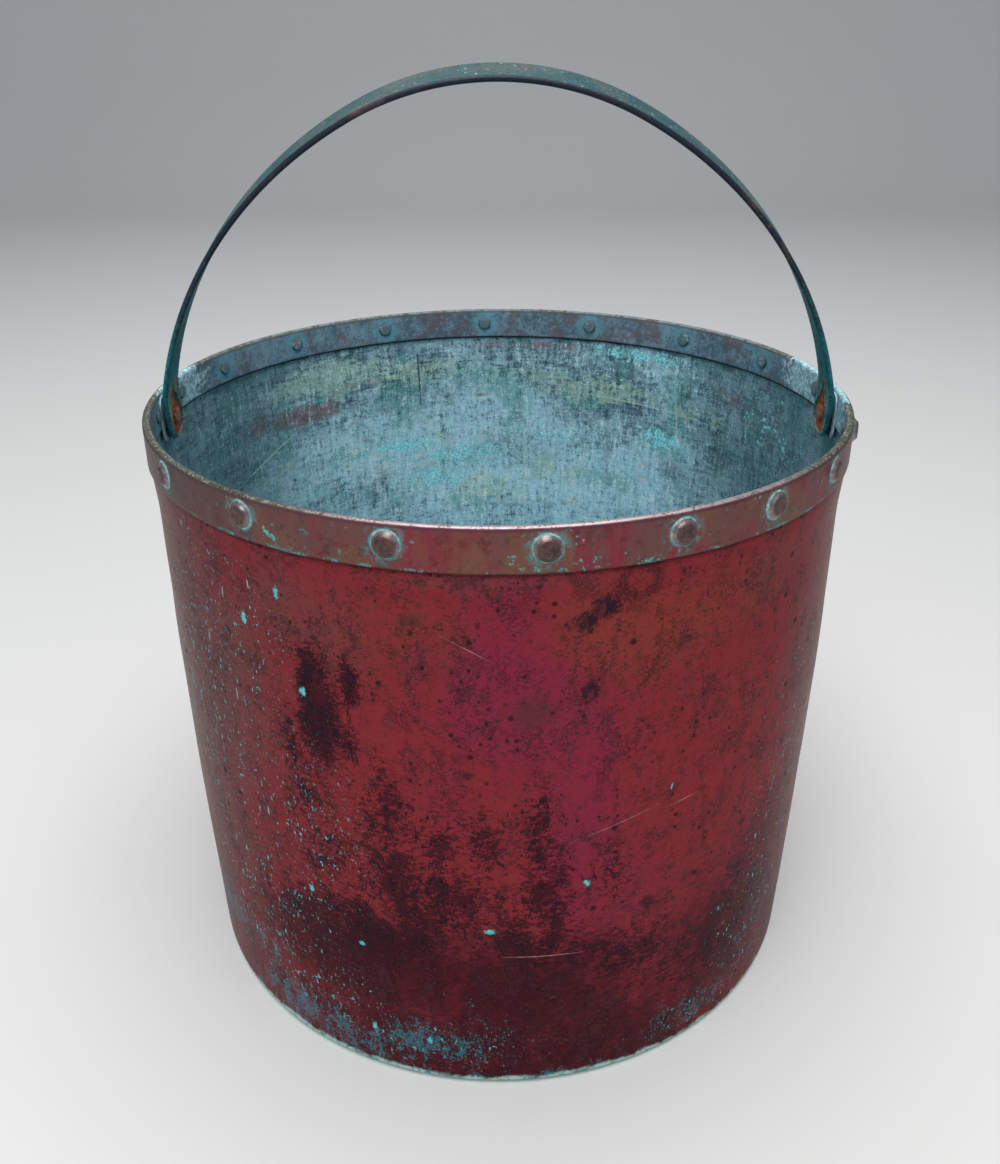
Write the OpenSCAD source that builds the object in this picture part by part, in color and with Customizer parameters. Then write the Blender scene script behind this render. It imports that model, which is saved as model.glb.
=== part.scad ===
// Riveted copper bucket with a copper-sheathed iron bail.
// Millimetres, +Z up, origin at the centre of the base.
// The bail swings about X on two iron pivots. The front is -Y.

/* [Pan] */
// Outside diameter over the rim band
rim_d = 400; // [340:5:460]
// Height from the base to the top of the rim band
body_h = 348; // [300:2:420]
// Outside diameter just above the bottom corner
base_d = 383; // [320:1:396]
// Thickness of the pan's copper sheet
wall_t = 1.5; // [1:0.1:2.5]
// Outside radius of the rounded bottom corner
corner_r = 5; // [3:0.5:20]
// Height where the wall starts to draw in towards the base
draw_h = 235; // [150:5:270]
// How far the wall steps in below the rim band
neck_in = 1.3; // [0.2:0.1:3]
// Height of the sweep that makes the step
neck_h = 26; // [10:1:40]

/* [Rim band] */
// Thickness of the strip folded over the wall's top edge
band_t = 1.5; // [0.8:0.1:2.5]
// Height of the band's outer leg, from the top of the fold
band_out_h = 22.5; // [18:0.5:40]
// Height of the band's inner leg, from the top of the fold
band_in_h = 21; // [18:0.5:40]
// Gap between the folded strip and the wall on each side
fold_gap = 0.03; // [0.01:0.01:0.2]

/* [Rivets] */
// Diameter of a head where it meets the band
head_d = 13.2; // [9:0.1:16]
// Diameter of the flat on top of a head
head_flat_d = 9.6; // [6:0.1:12]
// Height of a head above the band
head_h = 3; // [1.5:0.1:4]
// Diameter of a shank
shank_d = 6; // [4:0.1:8]
// Diameter of the hammered tail on the inside
tail_d = 9.2; // [7:0.1:12]
// Height of the tail on the inside
tail_h = 1.5; // [0.6:0.1:2]
// Depth of the rivet line below the top of the fold
rivet_drop = 10; // [8:0.5:14]

/* [Bail] */
// Width of the strap
strap_w = 28; // [26:0.5:34]
// Thickness of the strap, sheath and core together
strap_t = 3.2; // [2.8:0.1:5]
// Thickness of the copper sheath
sheath_t = 0.8; // [0.6:0.1:1]
// Width of the seam that the sheath leaves along its inner face
seam_w = 1.6; // [0.8:0.1:3]
// Clearance between the crown and the rivet tails when the bail lies level in the mouth
crown_gap = 3; // [0.5:0.1:6]
// Lean of the bail from upright, towards the front
bail_lean = 11; // [0:0.5:30]
// Length of the straight foot above each pivot
foot_h = 8; // [4:0.5:14]
// Radius of the bend above each foot
bend_r = 60; // [30:5:120]
// Lean of each leg above its bend, from the bail's own centre line
leg_lean = 14.5; // [8:0.5:20]
// Angle, from level, at which each leg runs into the crown
shoulder_a = 62; // [45:1:68]
// Width of the opening in the sheath at each pivot
eye_w = 22; // [14:0.5:23]
// Height above the pivot where the opening narrows to the seam
eye_h = 20; // [16:0.5:21]

/* [Pivots] */
// Depth of the pivots below the top of the fold
pivot_drop = 16; // [15:0.5:17]
// Diameter of a pivot pin
pin_d = 7; // [5:0.1:8]
// Diameter of a pin's head outside the band
pin_head_d = 11.6; // [9:0.1:13]
// Height of a pin's head outside the band
pin_head_h = 2.6; // [1.5:0.1:4]
// Diameter of a pin's hammered end inside the sheath's opening
pin_end_d = 10.8; // [8.4:0.1:11.6]
// Height of a pin's hammered end above the core
pin_end_h = 1.9; // [1:0.1:3]
// Width of the copper plate behind each pivot
plate_w = 28; // [22:1:32]
// Depth of each plate below the pivot
plate_below = 13; // [8:1:20]
// Thickness of each plate
plate_t = 1; // [0.6:0.1:2]
// Corner radius of each plate
plate_r = 6; // [2:0.5:10]
// Diameter of the iron washer between plate and bail
washer_d = 16; // [12:0.5:20]
// Thickness of the washer
washer_t = 1.5; // [0.8:0.1:2.5]

/* [Fits] */
// Radial clearance of a rivet or pin in a hole that it only passes through
hole_gap = 0.05; // [0.02:0.01:0.2]
// Radial clearance of a pivot pin in the bail
pivot_gap = 0.08; // [0.02:0.01:0.1]
// Side clearance between the bail and what it turns against
side_gap = 0.2; // [0.05:0.05:0.5]
// Clearance between the iron core and the sheath
core_gap = 0.05; // [0.02:0.01:0.2]

/* [Hidden] */
$fn = 96;
eps = 0.5; // overrun of a cut past a face
eye_over = 3; // overrun of the eye's cut, for the leg's bend above the foot
lap = 0.5; // length by which every other piece of the bail's line runs into its neighbours
lap_slim = 0.02; // and how much slimmer all over that piece is, so that it ends inside them
$slim = 0;

// Rivet places round the rim as the maker set them out by eye, degrees from the front.
// The gaps at 90 and 270 are where the pivots go.
rivet_at = [6, 24, 40, 57, 76, 98, 117, 138, 160, 183, 205, 226, 246, 262, 276, 304, 324, 346];
rivet_n = len(rivet_at);

function two(i) = str(i < 10 ? "0" : "", i);
RIVETS = [for (i = [1:rivet_n]) str("rivet_", two(i))];
SIDED = [for (part = ["pivot_plate", "pivot_washer", "pivot_pin"], side = ["left", "right"]) str(part, "_", side)];

// Radii of the rim, from outside to inside
band_out_r = rim_d / 2;
collar_r = band_out_r - band_t - fold_gap;
collar_in_r = collar_r - wall_t;
band_in_r = collar_in_r - fold_gap - band_t;
fold_r = (band_out_r - band_in_r) / 2;
fold_mid_r = (band_out_r + band_in_r) / 2;

// Heights of the rim
collar_top = body_h - fold_r;
collar_low = body_h - band_out_h - 1;
neck_low = collar_low - neck_h;
rivet_z = body_h - rivet_drop;
pivot_z = body_h - pivot_drop;

// Where the flat underside of a rivet's tail meets the band's curved inside
tail_seat_r = sqrt(pow(band_in_r, 2) - pow(tail_d / 2, 2));

// Radii of the wall
base_r = base_d / 2;
mid_r = collar_r - neck_in;
draw_steps = 8;
neck_steps = 4;

// Outside radius of the wall at height z
function wall_r(z) =
    z >= collar_low ? collar_r
    : z >= neck_low ? mid_r + neck_in * (1 - cos(180 * (z - neck_low) / neck_h)) / 2
    : z >= draw_h ? mid_r
    : mid_r - (mid_r - base_r) * pow((draw_h - z) / (draw_h - corner_r), 1.6);

wall_heights = concat(
    [for (i = [0:draw_steps]) corner_r + (draw_h - corner_r) * i / draw_steps],
    [for (i = [0:neck_steps]) neck_low + neck_h * i / neck_steps],
    [collar_top]);

// Places of the pivot parts along X, from the band inwards
plate_out_r = band_in_r - fold_gap;
plate_in_r = plate_out_r - plate_t;
washer_out_x = sqrt(pow(plate_in_r, 2) - pow(washer_d / 2, 2)) - fold_gap;
washer_in_x = washer_out_x - washer_t;
foot_x = washer_in_x - side_gap - strap_t / 2;
core_t = strap_t - 2 * sheath_t - 2 * core_gap;
core_w = strap_w - 2 * sheath_t - 2 * core_gap;
core_in_x = foot_x - core_t / 2;
plate_high = pivot_drop - fold_r;
crown_h = tail_seat_r - tail_h - crown_gap - strap_t / 2;

// The bail's line in its own plane, x sideways and u up from the pivots: a straight foot,
// a short bend, a leg arc and a crown arc, each tangent to the next.
bend_x = foot_x - bend_r * (1 - cos(leg_lean));
bend_u = foot_h + bend_r * sin(leg_lean);
leg_c = cos(leg_lean) - cos(shoulder_a);
leg_s = sin(shoulder_a) - sin(leg_lean);
crown_c = cos(shoulder_a);
crown_s = 1 - sin(shoulder_a);
line_det = leg_c * crown_s - crown_c * leg_s;
leg_r = (bend_x * crown_s - crown_c * (crown_h - bend_u)) / line_det;
crown_r = (leg_c * (crown_h - bend_u) - leg_s * bend_x) / line_det;
crown_at = [0, crown_h - crown_r];
leg_at = crown_at + (crown_r - leg_r) * [cos(shoulder_a), sin(shoulder_a)];
bend_at = leg_at + (leg_r - bend_r) * [cos(leg_lean), sin(leg_lean)];

// ---- Helpers ----

// Puts its children at angle a from the front, with +Z pointing outwards along the radius
module outwards(a, z) {
    rotate([0, 0, a - 90]) translate([0, 0, z]) rotate([0, 90, 0]) children();
}

// A round hole through wall and band at angle a
module rim_hole(a, z, d) {
    outwards(a, z) translate([0, 0, band_in_r - eps])
        cylinder(d = d, h = band_out_r - band_in_r + 2 * eps);
}

module rivet_holes() {
    for (a = rivet_at) rim_hole(a, rivet_z, shank_d + 2 * hole_gap);
}

module pivot_holes() {
    for (a = [90, 270]) rim_hole(a, pivot_z, pin_d + 2 * hole_gap);
}

// A cone-shaped head along +X whose underside is cut to the band's outside
module seated_head(d, flat_d, h) {
    difference() {
        translate([band_out_r - 1, 0, 0]) rotate([0, 90, 0]) {
            cylinder(d = d, h = 1);
            translate([0, 0, 1]) cylinder(d1 = d, d2 = flat_d, h = h);
        }
        translate([0, 0, -d]) cylinder(r = band_out_r, h = 2 * d, $fn = 720);
    }
}

// Strap section with round edges, of thickness t and width w, centred on the origin
module strap_section(t, w) {
    square([t, w - t], center = true);
    for (s = [-1, 1]) translate([0, s * (w - t) / 2]) circle(d = t, $fn = 32);
}

// The sheath's section: round the core, with the seam on the side of the bail's centre
module sheath_section() {
    difference() {
        strap_section(strap_t - 2 * $slim, strap_w - 2 * $slim);
        strap_section(strap_t - 2 * sheath_t + 2 * $slim, strap_w - 2 * sheath_t + 2 * $slim);
        translate([-strap_t / 2 - eps, -seam_w / 2 - $slim]) square([strap_t / 2 + eps, seam_w + 2 * $slim]);
    }
}

module core_section() {
    strap_section(core_t - 2 * $slim, core_w - 2 * $slim);
}

// An arc of the bail's line, sweeping its child section from angle a0 to a1
module line_arc(centre, r, a0, a1) {
    translate([centre[0], 0, centre[1]]) rotate([90, 0, 0]) rotate([0, 0, a0])
        rotate_extrude(angle = a1 - a0, $fn = 180) translate([r, 0]) children();
}

// The same arc, slimmer and run on at both ends into its neighbours
module lapped_arc(centre, r, a0, a1) {
    $slim = lap_slim;
    more = lap * 180 / (PI * r);
    line_arc(centre, r, a0 - more, a1 + more) children();
}

// One side of the bail's line, from the pivot to the shoulder
module side_line() {
    translate([foot_x, 0, 0]) linear_extrude(height = foot_h) children();
    lapped_arc(bend_at, bend_r, 0, leg_lean) children();
    line_arc(leg_at, leg_r, leg_lean, shoulder_a) children();
}

// The bail's whole line, both sides and crown
module bail_line() {
    both_sides() side_line() children();
    lapped_arc(crown_at, crown_r, shoulder_a, 180 - shoulder_a) children();
}

// Half disc below a pivot, with the strap's own round edge
module foot_disc(t, w) {
    translate([foot_x, 0, 0]) rotate([0, 90, 0]) rotate([0, 0, -90])
        rotate_extrude(angle = 180) {
            translate([0, -t / 2]) square([(w - t) / 2, t]);
            intersection() {
                translate([(w - t) / 2, 0]) circle(d = t, $fn = 32);
                translate([0, -t]) square([w, 2 * t]);
            }
        }
}

// Its children and their mirror image across X
module both_sides() {
    children();
    mirror([1, 0, 0]) children();
}

module at_pivots() {
    translate([0, 0, pivot_z]) rotate([bail_lean, 0, 0]) children();
}

module pin_bores() {
    both_sides() translate([foot_x - strap_t, 0, 0]) rotate([0, 90, 0])
        cylinder(d = pin_d + 2 * pivot_gap, h = 2 * strap_t);
}

// The opening in the sheath's inner face: round at the pivot, narrowing up to the seam
module eye_cut() {
    translate([foot_x - strap_t / 2 - eye_over, 0, 0]) rotate([90, 0, 90])
        linear_extrude(height = eye_over + sheath_t + core_t / 2) {
            circle(d = eye_w);
            polygon([[-eye_w / 2, 0], [eye_w / 2, 0], [seam_w / 2, eye_h], [-seam_w / 2, eye_h]]);
        }
}

// ---- Pieces ----

// Raised copper pan: floor, rounded corner and wall in one sheet
module pan() {
    color([0.55, 0.17, 0.14]) difference() {
        union() {
            cylinder(r = base_r - corner_r, h = wall_t);
            rotate_extrude() translate([base_r - corner_r, corner_r]) intersection() {
                difference() {
                    circle(r = corner_r);
                    circle(r = corner_r - wall_t);
                }
                translate([0, -corner_r]) square(corner_r);
            }
            rotate_extrude() polygon(concat(
                [for (z = wall_heights) [wall_r(z), z]],
                [for (i = [len(wall_heights) - 1:-1:0]) [wall_r(wall_heights[i]) - wall_t, wall_heights[i]]]));
        }
        rivet_holes();
        pivot_holes();
    }
}

// Copper strip folded over the wall's top edge
module rim_band() {
    color([0.47, 0.22, 0.18]) difference() {
        rotate_extrude() {
            translate([band_out_r - band_t, body_h - band_out_h]) square([band_t, band_out_h - fold_r]);
            translate([band_in_r, body_h - band_in_h]) square([band_t, band_in_h - fold_r]);
            translate([fold_mid_r, body_h - fold_r]) intersection() {
                difference() {
                    circle(r = fold_r, $fn = 32);
                    circle(r = fold_r - band_t, $fn = 32);
                }
                translate([-fold_r, 0]) square([2 * fold_r, fold_r]);
            }
        }
        rivet_holes();
        pivot_holes();
    }
}

// Copper rivet: cone-shaped head outside, shank, hammered tail inside
module rivet(a) {
    color([0.45, 0.24, 0.2]) rotate([0, 0, a - 90]) translate([0, 0, rivet_z]) {
        seated_head(head_d, head_flat_d, head_h);
        translate([tail_seat_r - tail_h, 0, 0]) rotate([0, 90, 0]) {
            cylinder(d = shank_d, h = band_out_r + head_h / 2 - tail_seat_r + tail_h);
            cylinder(d = tail_d, h = tail_h);
        }
    }
}

// Copper plate on the inside of the band behind a pivot
module pivot_plate() {
    color([0.4, 0.62, 0.64]) translate([0, 0, pivot_z]) difference() {
        intersection() {
            difference() {
                translate([0, 0, -plate_below]) cylinder(r = plate_out_r, h = plate_below + plate_high);
                translate([0, 0, -plate_below - eps]) cylinder(r = plate_in_r, h = plate_below + plate_high + 2 * eps);
            }
            rotate([90, 0, 90]) linear_extrude(height = band_out_r) plate_outline();
        }
        rotate([0, 90, 0]) cylinder(d = pin_d + 2 * hole_gap, h = band_out_r);
    }
}

// Outline of a pivot plate, with four rounded corners
module plate_outline() {
    w = plate_w - 2 * plate_r;
    h = plate_below + plate_high;
    translate([-w / 2, -plate_below]) square([w, h]);
    translate([-plate_w / 2, -plate_below + plate_r]) square([plate_w, h - 2 * plate_r]);
    for (x = [-w / 2, w / 2], y = [-plate_below + plate_r, plate_high - plate_r])
        translate([x, y]) circle(r = plate_r, $fn = 48);
}

// Iron washer that holds the bail clear of the plate
module pivot_washer() {
    color([0.3, 0.16, 0.1]) translate([washer_in_x, 0, pivot_z]) rotate([0, 90, 0]) difference() {
        cylinder(d = washer_d, h = washer_t);
        translate([0, 0, -eps]) cylinder(d = pin_d + 2 * hole_gap, h = washer_t + 2 * eps);
    }
}

// Iron pivot pin: head outside the band, hammered end inside the bail's opening
module pivot_pin() {
    end_x = core_in_x - side_gap - pin_end_h;
    color([0.42, 0.2, 0.12]) translate([0, 0, pivot_z]) {
        seated_head(pin_head_d, pin_head_d - pin_head_h, pin_head_h);
        translate([end_x, 0, 0]) rotate([0, 90, 0]) {
            cylinder(d = pin_d, h = band_out_r + pin_head_h / 2 - end_x);
            cylinder(d1 = pin_end_d - pin_end_h, d2 = pin_end_d, h = pin_end_h);
        }
    }
}

// Iron strap inside the bail
module bail_core() {
    color([0.36, 0.15, 0.08]) at_pivots() difference() {
        union() {
            bail_line() core_section();
            both_sides() foot_disc(core_t, core_w);
        }
        pin_bores();
    }
}

// Copper sheet folded round the iron strap, with its seam on the inside of the bail
module bail_sheath() {
    color([0.16, 0.33, 0.33]) at_pivots() difference() {
        union() {
            bail_line() sheath_section();
            both_sides() difference() {
                foot_disc(strap_t, strap_w);
                foot_disc(strap_t - 2 * sheath_t, strap_w - 2 * sheath_t);
            }
        }
        both_sides() eye_cut();
        pin_bores();
    }
}

pan();
rim_band();
for (i = [0:rivet_n - 1]) rivet(rivet_at[i]);
pivot_plate();  // pivot_plate_right
mirror([1, 0, 0]) pivot_plate();  // pivot_plate_left
pivot_washer();  // pivot_washer_right
mirror([1, 0, 0]) pivot_washer();  // pivot_washer_left
pivot_pin();  // pivot_pin_right
mirror([1, 0, 0]) pivot_pin();  // pivot_pin_left
bail_core();
bail_sheath();
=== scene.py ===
"""An old riveted copper bucket with a swinging bail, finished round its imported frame."""

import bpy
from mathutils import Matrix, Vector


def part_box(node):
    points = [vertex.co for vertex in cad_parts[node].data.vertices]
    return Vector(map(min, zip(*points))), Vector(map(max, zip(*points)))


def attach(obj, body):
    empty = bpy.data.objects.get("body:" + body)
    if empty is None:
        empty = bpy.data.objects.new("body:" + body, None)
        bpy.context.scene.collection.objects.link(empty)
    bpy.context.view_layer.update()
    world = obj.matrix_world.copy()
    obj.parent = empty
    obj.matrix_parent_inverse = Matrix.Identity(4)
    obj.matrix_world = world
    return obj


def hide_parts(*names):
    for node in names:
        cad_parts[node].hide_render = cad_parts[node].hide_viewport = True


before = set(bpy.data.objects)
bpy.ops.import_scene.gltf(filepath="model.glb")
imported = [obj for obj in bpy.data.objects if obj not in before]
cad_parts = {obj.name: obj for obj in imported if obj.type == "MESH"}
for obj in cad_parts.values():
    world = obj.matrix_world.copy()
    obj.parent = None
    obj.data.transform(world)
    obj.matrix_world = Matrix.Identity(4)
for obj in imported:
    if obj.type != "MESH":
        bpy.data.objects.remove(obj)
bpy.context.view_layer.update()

import math
import random

import bmesh
import bpy
import numpy as np
from bpy.props import FloatProperty, FloatVectorProperty, IntProperty, PointerProperty
from mathutils import Matrix, Vector, noise

bl_info = {
    "name": "Copper Bucket",
    "version": (1, 0, 0),
    "blender": (4, 5, 0),
    "location": "View3D > Sidebar > Bucket",
    "description": "Makes an old riveted copper bucket with its patina, rust and wear",
    "category": "Add Mesh",
}

MM = 0.001
PAN_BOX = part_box("pan")
BAND_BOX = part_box("rim_band")
PIN_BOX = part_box("pivot_pin_right")
SHEATH_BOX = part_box("bail_sheath")
RIVETS = sorted(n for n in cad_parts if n.startswith("rivet_"))
PIVOT_Z = (PIN_BOX[0].z + PIN_BOX[1].z) / 2
BAND_R = BAND_BOX[1].x  # outer face of the band
LINING_R = BAND_R - 4.56 * MM  # inner face of the band: fold, wall and clearances
TOP_R = 199.6 * MM  # where the band's top begins to count as its outer face
MEAN_R = 200 * MM  # lays angles round the rim out as lengths
PIN_SHANK = 3.5 * MM  # radius of a pivot pin between its ends
SHARP, SHARP_PAN = 50, 60  # degrees above which an edge is shaded sharp


def length(name, default, note):
    """A length in millimetres of the frame, kept in metres"""
    return FloatProperty(name=name, description=note, default=default * MM, min=0, precision=5, unit="LENGTH")


def turn(name, default, note):
    """An angle, given in degrees"""
    return FloatProperty(name=name, description=note, default=math.radians(default), unit="ROTATION")


def colour(name, default, note):
    """A linear colour"""
    return FloatVectorProperty(name=name, description=note, default=default, size=3, min=0, max=1, subtype="COLOR")


class PanSizes(bpy.types.PropertyGroup):
    """The raised pan"""

    foot_radius: length("Base radius", 191.5, "Outside radius where the wall meets the rounded corner")
    neck_in: length("Neck", 1.3, "How far the wall steps in below the rim band")
    neck_height: length("Neck height", 26, "Height over which the wall steps in")
    draw_height: length("Drawn height", 235, "Height below which the wall draws in to the base")
    corner: length("Corner radius", 5, "Outside radius of the rounded bottom corner")
    wall: length("Wall", 1.5, "Thickness of the sheet")
    hand: length("Hand marks", 0.42, "How far the sheet wanders from a true round")
    round_steps: IntProperty(name="Steps round", description="Faces round the pan", default=336, min=48)


class BandSizes(bpy.types.PropertyGroup):
    """The strip folded over the rim"""

    sheet: length("Sheet", 1.5, "Thickness of the strip")
    inner_drop: length("Inner leg", 21, "Height of the leg inside the wall")
    wander: length("Wander", 0.55, "How far the lower edges wander up and down")
    round_steps: IntProperty(name="Steps round", description="Faces round the band", default=480, min=48)


class RivetSizes(bpy.types.PropertyGroup):
    """The copper rivets and iron pins"""

    head: length("Head", 13.2, "Diameter of a rivet's head at its base")
    flat: length("Flat", 9.6, "Diameter of the hammered flat on a head")
    rise: length("Rise", 2.9, "Height of a head")
    tail: length("Tail", 9.2, "Diameter of the hammered tail inside")
    tail_rise: length("Tail rise", 1.5, "Height of a tail")
    shank: length("Shank", 6, "Diameter of the shank")
    crust: length("Crust", 1.0, "Width of the verdigris crust round a head")
    seed: IntProperty(name="Seed", description="Changes how the heads differ", default=7)


class BailSizes(bpy.types.PropertyGroup):
    """The sheathed bail"""

    width: length("Width", 28, "Width of the sheathed strap")
    thick: length("Thickness", 3.2, "Thickness of the sheathed strap")
    sheet: length("Sheet", 0.8, "Thickness of the sheath")
    seam: length("Seam", 1.6, "Gap between the sheath's edges along the inside")
    eye_width: length("Eye width", 22, "Width of the opening round a pivot")
    eye_height: length("Eye height", 21, "Height above the pivot at which the opening narrows to the seam")
    foot: length("Foot", 8, "Straight length above the pivot")
    bend_radius: length("Bend radius", 60, "Radius of the bend above a foot")
    leg_lean: turn("Leg lean", 14.5, "Inward lean of a leg above its bend")
    shoulder: turn("Shoulder", 62, "Angle at which the leg's arc meets the crown's arc")
    lean: turn("Lean", 11, "Forward lean of the bail at rest")


class CopperColours(bpy.types.PropertyGroup):
    """Colours of the patinas"""

    brown: colour("Brown", (0.15, 0.066, 0.062), "Plain brown patina")
    red: colour("Red", (0.225, 0.0245, 0.033), "Red patina of the wall")
    # laid as magenta bloom, and also as a painted pinkish sheen in a narrow strip down the front of the wall
    magenta_and_sheen: colour("Magenta", (0.225, 0.018, 0.058), "Magenta bloom")
    orange: colour("Orange", (0.23, 0.042, 0.028), "Orange bloom")
    wine: colour("Wine", (0.031, 0.0045, 0.012), "Dark wine-black patina")
    pale: colour("Pale verdigris", (0.4, 0.64, 0.58), "Pale, dusty verdigris")
    slate: colour("Slate", (0.12, 0.22, 0.27), "Blue-grey patina of the inside")
    haze: colour("Haze", (0.4, 0.68, 0.79), "Light blue haze of the inside")
    straw: colour("Straw", (0.37, 0.565, 0.46), "Yellow-green clouds of the inside")
    teal: colour("Teal", (0.02, 0.07, 0.08), "Dark teal patina of the bail")
    rust: colour("Rust", (0.36, 0.088, 0.02), "Orange-brown rust")
    dark_rust: colour("Dark rust", (0.1, 0.022, 0.012), "Dark red-brown rust")


class StageSizes(bpy.types.PropertyGroup):
    """Camera, floor and light"""

    lens: FloatProperty(name="Lens", description="Focal length in millimetres", default=34.2, min=1)
    pitch: turn("Pitch", 25.84, "How far the camera looks down")
    roll: turn("Roll", -0.23, "How far the camera leans over")
    place: FloatVectorProperty(
        name="Place", description="Where the camera stands", default=(0.0006, -0.6244, 0.5387), size=3,
        subtype="TRANSLATION",
    )
    shift: FloatProperty(name="Shift", description="Upward shift of the view", default=-0.0192)
    floor: colour("Floor", (0.62, 0.62, 0.61), "Plain pale floor")


# ---- Finishes ----


class Field:
    """A value or colour over a surface; sums on it add their nodes"""

    def __init__(self, finish, socket):
        self.finish, self.socket = finish, socket

    def _sum(self, operation, *inputs):
        return self.finish.node("ShaderNodeMath", {"operation": operation}, dict(enumerate(inputs)))

    def __add__(self, other):
        return self._sum("ADD", self, other)

    def __sub__(self, other):
        return self._sum("SUBTRACT", self, other)

    def __rsub__(self, other):
        return self._sum("SUBTRACT", other, self)

    def __mul__(self, other):
        return self._sum("MULTIPLY", self, other)

    __radd__, __rmul__ = __add__, __mul__

    def clip(self):
        return self.finish.node("ShaderNodeClamp", {}, {"Value": self})

    def most(self, other):
        return self._sum("MAXIMUM", self, other)

    def rise(self, low, high):
        """0 below low, 1 above high and smooth between; low may be the larger"""
        return self.finish.node(
            "ShaderNodeMapRange",
            {"interpolation_type": "SMOOTHSTEP"},
            {"Value": self, "From Min": low, "From Max": high},
        )


def grit(*parts):
    """A sum of clouds about nought, each followed by its weight"""
    terms = [(cloud - 0.5) * weight for cloud, weight in zip(parts[::2], parts[1::2])]
    return sum(terms[1:], terms[0])


class Finish:
    """A material, built up from fields"""

    def __init__(self, name):
        self.material = bpy.data.materials.new(name)
        self.material.use_nodes = True
        self.tree = self.material.node_tree
        self.tree.nodes.clear()
        self.here = self.node("ShaderNodeTexCoord", out="Object")
        self.base = (1, 1, 1)

    def node(self, kind, settings=None, inputs=None, out=0):
        """Adds any node: its settings first, then its sockets; gives the asked output"""
        node = self.tree.nodes.new(kind)
        for name, value in (settings or {}).items():
            setattr(node, name, value)
        for name, value in (inputs or {}).items():
            if isinstance(value, Field):
                self.tree.links.new(value.socket, node.inputs[name])
            elif isinstance(node.inputs[name].default_value, float):
                node.inputs[name].default_value = value
            else:
                size = len(node.inputs[name].default_value)
                node.inputs[name].default_value = (*value, 1.0)[:size]
        return Field(self, node.outputs[out])

    def outs(self, field, *names):
        """Other outputs of a field's node"""
        return [Field(self, field.socket.node.outputs[name]) for name in names]

    def split(self, vector):
        """The three parts of a vector or colour"""
        first = self.node("ShaderNodeSeparateXYZ", {}, {0: vector})
        return self.outs(first, "X", "Y", "Z")

    def attribute(self, name, *outs):
        """Outputs of a value stored on the mesh"""
        first = self.node("ShaderNodeAttribute", {"attribute_name": name}, {}, "Color")
        return self.outs(first, *outs)

    def stretched(self, stretch, turn=0.0, shift=(0, 0, 0)):
        """The place on the object, scaled, turned about Y and moved"""
        return self.node(
            "ShaderNodeMapping",
            {},
            {"Vector": self.here, "Scale": stretch, "Location": shift, "Rotation": (0, turn, 0)},
        )

    def cloud(self, size, detail=4.0, rough=0.55, stretch=None, shift=(0, 0, 0), turn=0.0, warp=0.0):
        """Soft random pattern whose features are size metres across"""
        where = self.stretched(stretch or (1, 1, 1), turn, shift)
        return self.node(
            "ShaderNodeTexNoise",
            {},
            {"Vector": where, "Scale": 1 / size, "Detail": detail, "Roughness": rough, "Distortion": warp},
        )

    def dots(self, size, keep, low, high, stretch=None, turn=0.0, shift=(0, 0, 0)):
        """Scattered marks, one in a cell of the given size; keep is the share of cells that hold one"""
        cell = self.node(
            "ShaderNodeTexVoronoi",
            {"feature": "F1"},
            {"Vector": self.stretched(stretch or (1, 1, 1), turn, shift), "Scale": 1 / size, "Randomness": 1.0},
            "Distance",
        )
        (luck,) = self.outs(cell, "Color")
        chance, bulk, _ = self.split(luck)
        return (cell * (0.6 + bulk)).rise(high, low) * chance.rise(1 - keep, 1 - keep + 0.02)

    def reach(self, x, y):
        """Distance from the axis that x and y are measured from"""
        return self.length(self.node("ShaderNodeCombineXYZ", {}, {0: x, 1: y}))

    def length(self, vector):
        """Length of a vector"""
        return self.node("ShaderNodeVectorMath", {"operation": "LENGTH"}, {0: vector}, "Value")

    def mix(self, under, over, amount):
        """Lays one colour over another"""
        return self.node("ShaderNodeMix", {"data_type": "RGBA"}, {0: amount, 6: under, 7: over}, 2)

    def shaded(self, under, amount, depth):
        """A colour made darker where amount is high"""
        grey = self.mix((1, 1, 1), (depth, depth, depth), amount)
        return self.node(
            "ShaderNodeMix", {"data_type": "RGBA", "blend_type": "MULTIPLY"}, {0: 1.0, 6: under, 7: grey}, 2
        )

    def lay(self, colour, amount):
        """Lays a colour over the ones so far"""
        self.base = self.mix(self.base, colour, amount)

    def darken(self, amount, depth):
        """Darkens the colours so far"""
        self.base = self.shaded(self.base, amount, depth)

    def patches(self, marks, edge=0.35, broken=None):
        """Single marks at their places, each with its size from middle to rim along each axis and its turn"""
        found = None
        for centre, size, turned in marks:
            away = self.node("ShaderNodeVectorMath", {"operation": "SUBTRACT"}, {0: self.here, 1: centre})
            local = self.node("ShaderNodeMapping", {}, {"Vector": away, "Rotation": (0, turned, 0)})
            scaled = self.node("ShaderNodeVectorMath", {"operation": "DIVIDE"}, {0: local, 1: size})
            far = self.length(scaled)
            if broken:
                far = far + broken
            mark = far.rise(1 + edge, 1 - edge)
            found = mark if found is None else found.most(mark)
        return found

    def done(self, rough, metal, height=None, depth=0.0002, coat=0.0, coat_rough=0.2, shine=0.5, tint=(1, 1, 1)):
        """Closes the material with its principled shader"""
        inputs = {"Base Color": self.base, "Roughness": rough, "Metallic": metal}
        if height is not None:
            inputs["Normal"] = self.node("ShaderNodeBump", {}, {"Height": height, "Distance": depth, "Strength": 1.0})
        inputs["Coat Weight"] = coat
        inputs["Coat Roughness"] = coat_rough
        inputs["Specular IOR Level"] = shine
        inputs["Specular Tint"] = (*tint, 1)
        surface = self.node("ShaderNodeBsdfPrincipled", {}, inputs)
        end = self.tree.nodes.new("ShaderNodeOutputMaterial")
        self.tree.links.new(surface.socket, end.inputs["Surface"])
        return self.material


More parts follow.
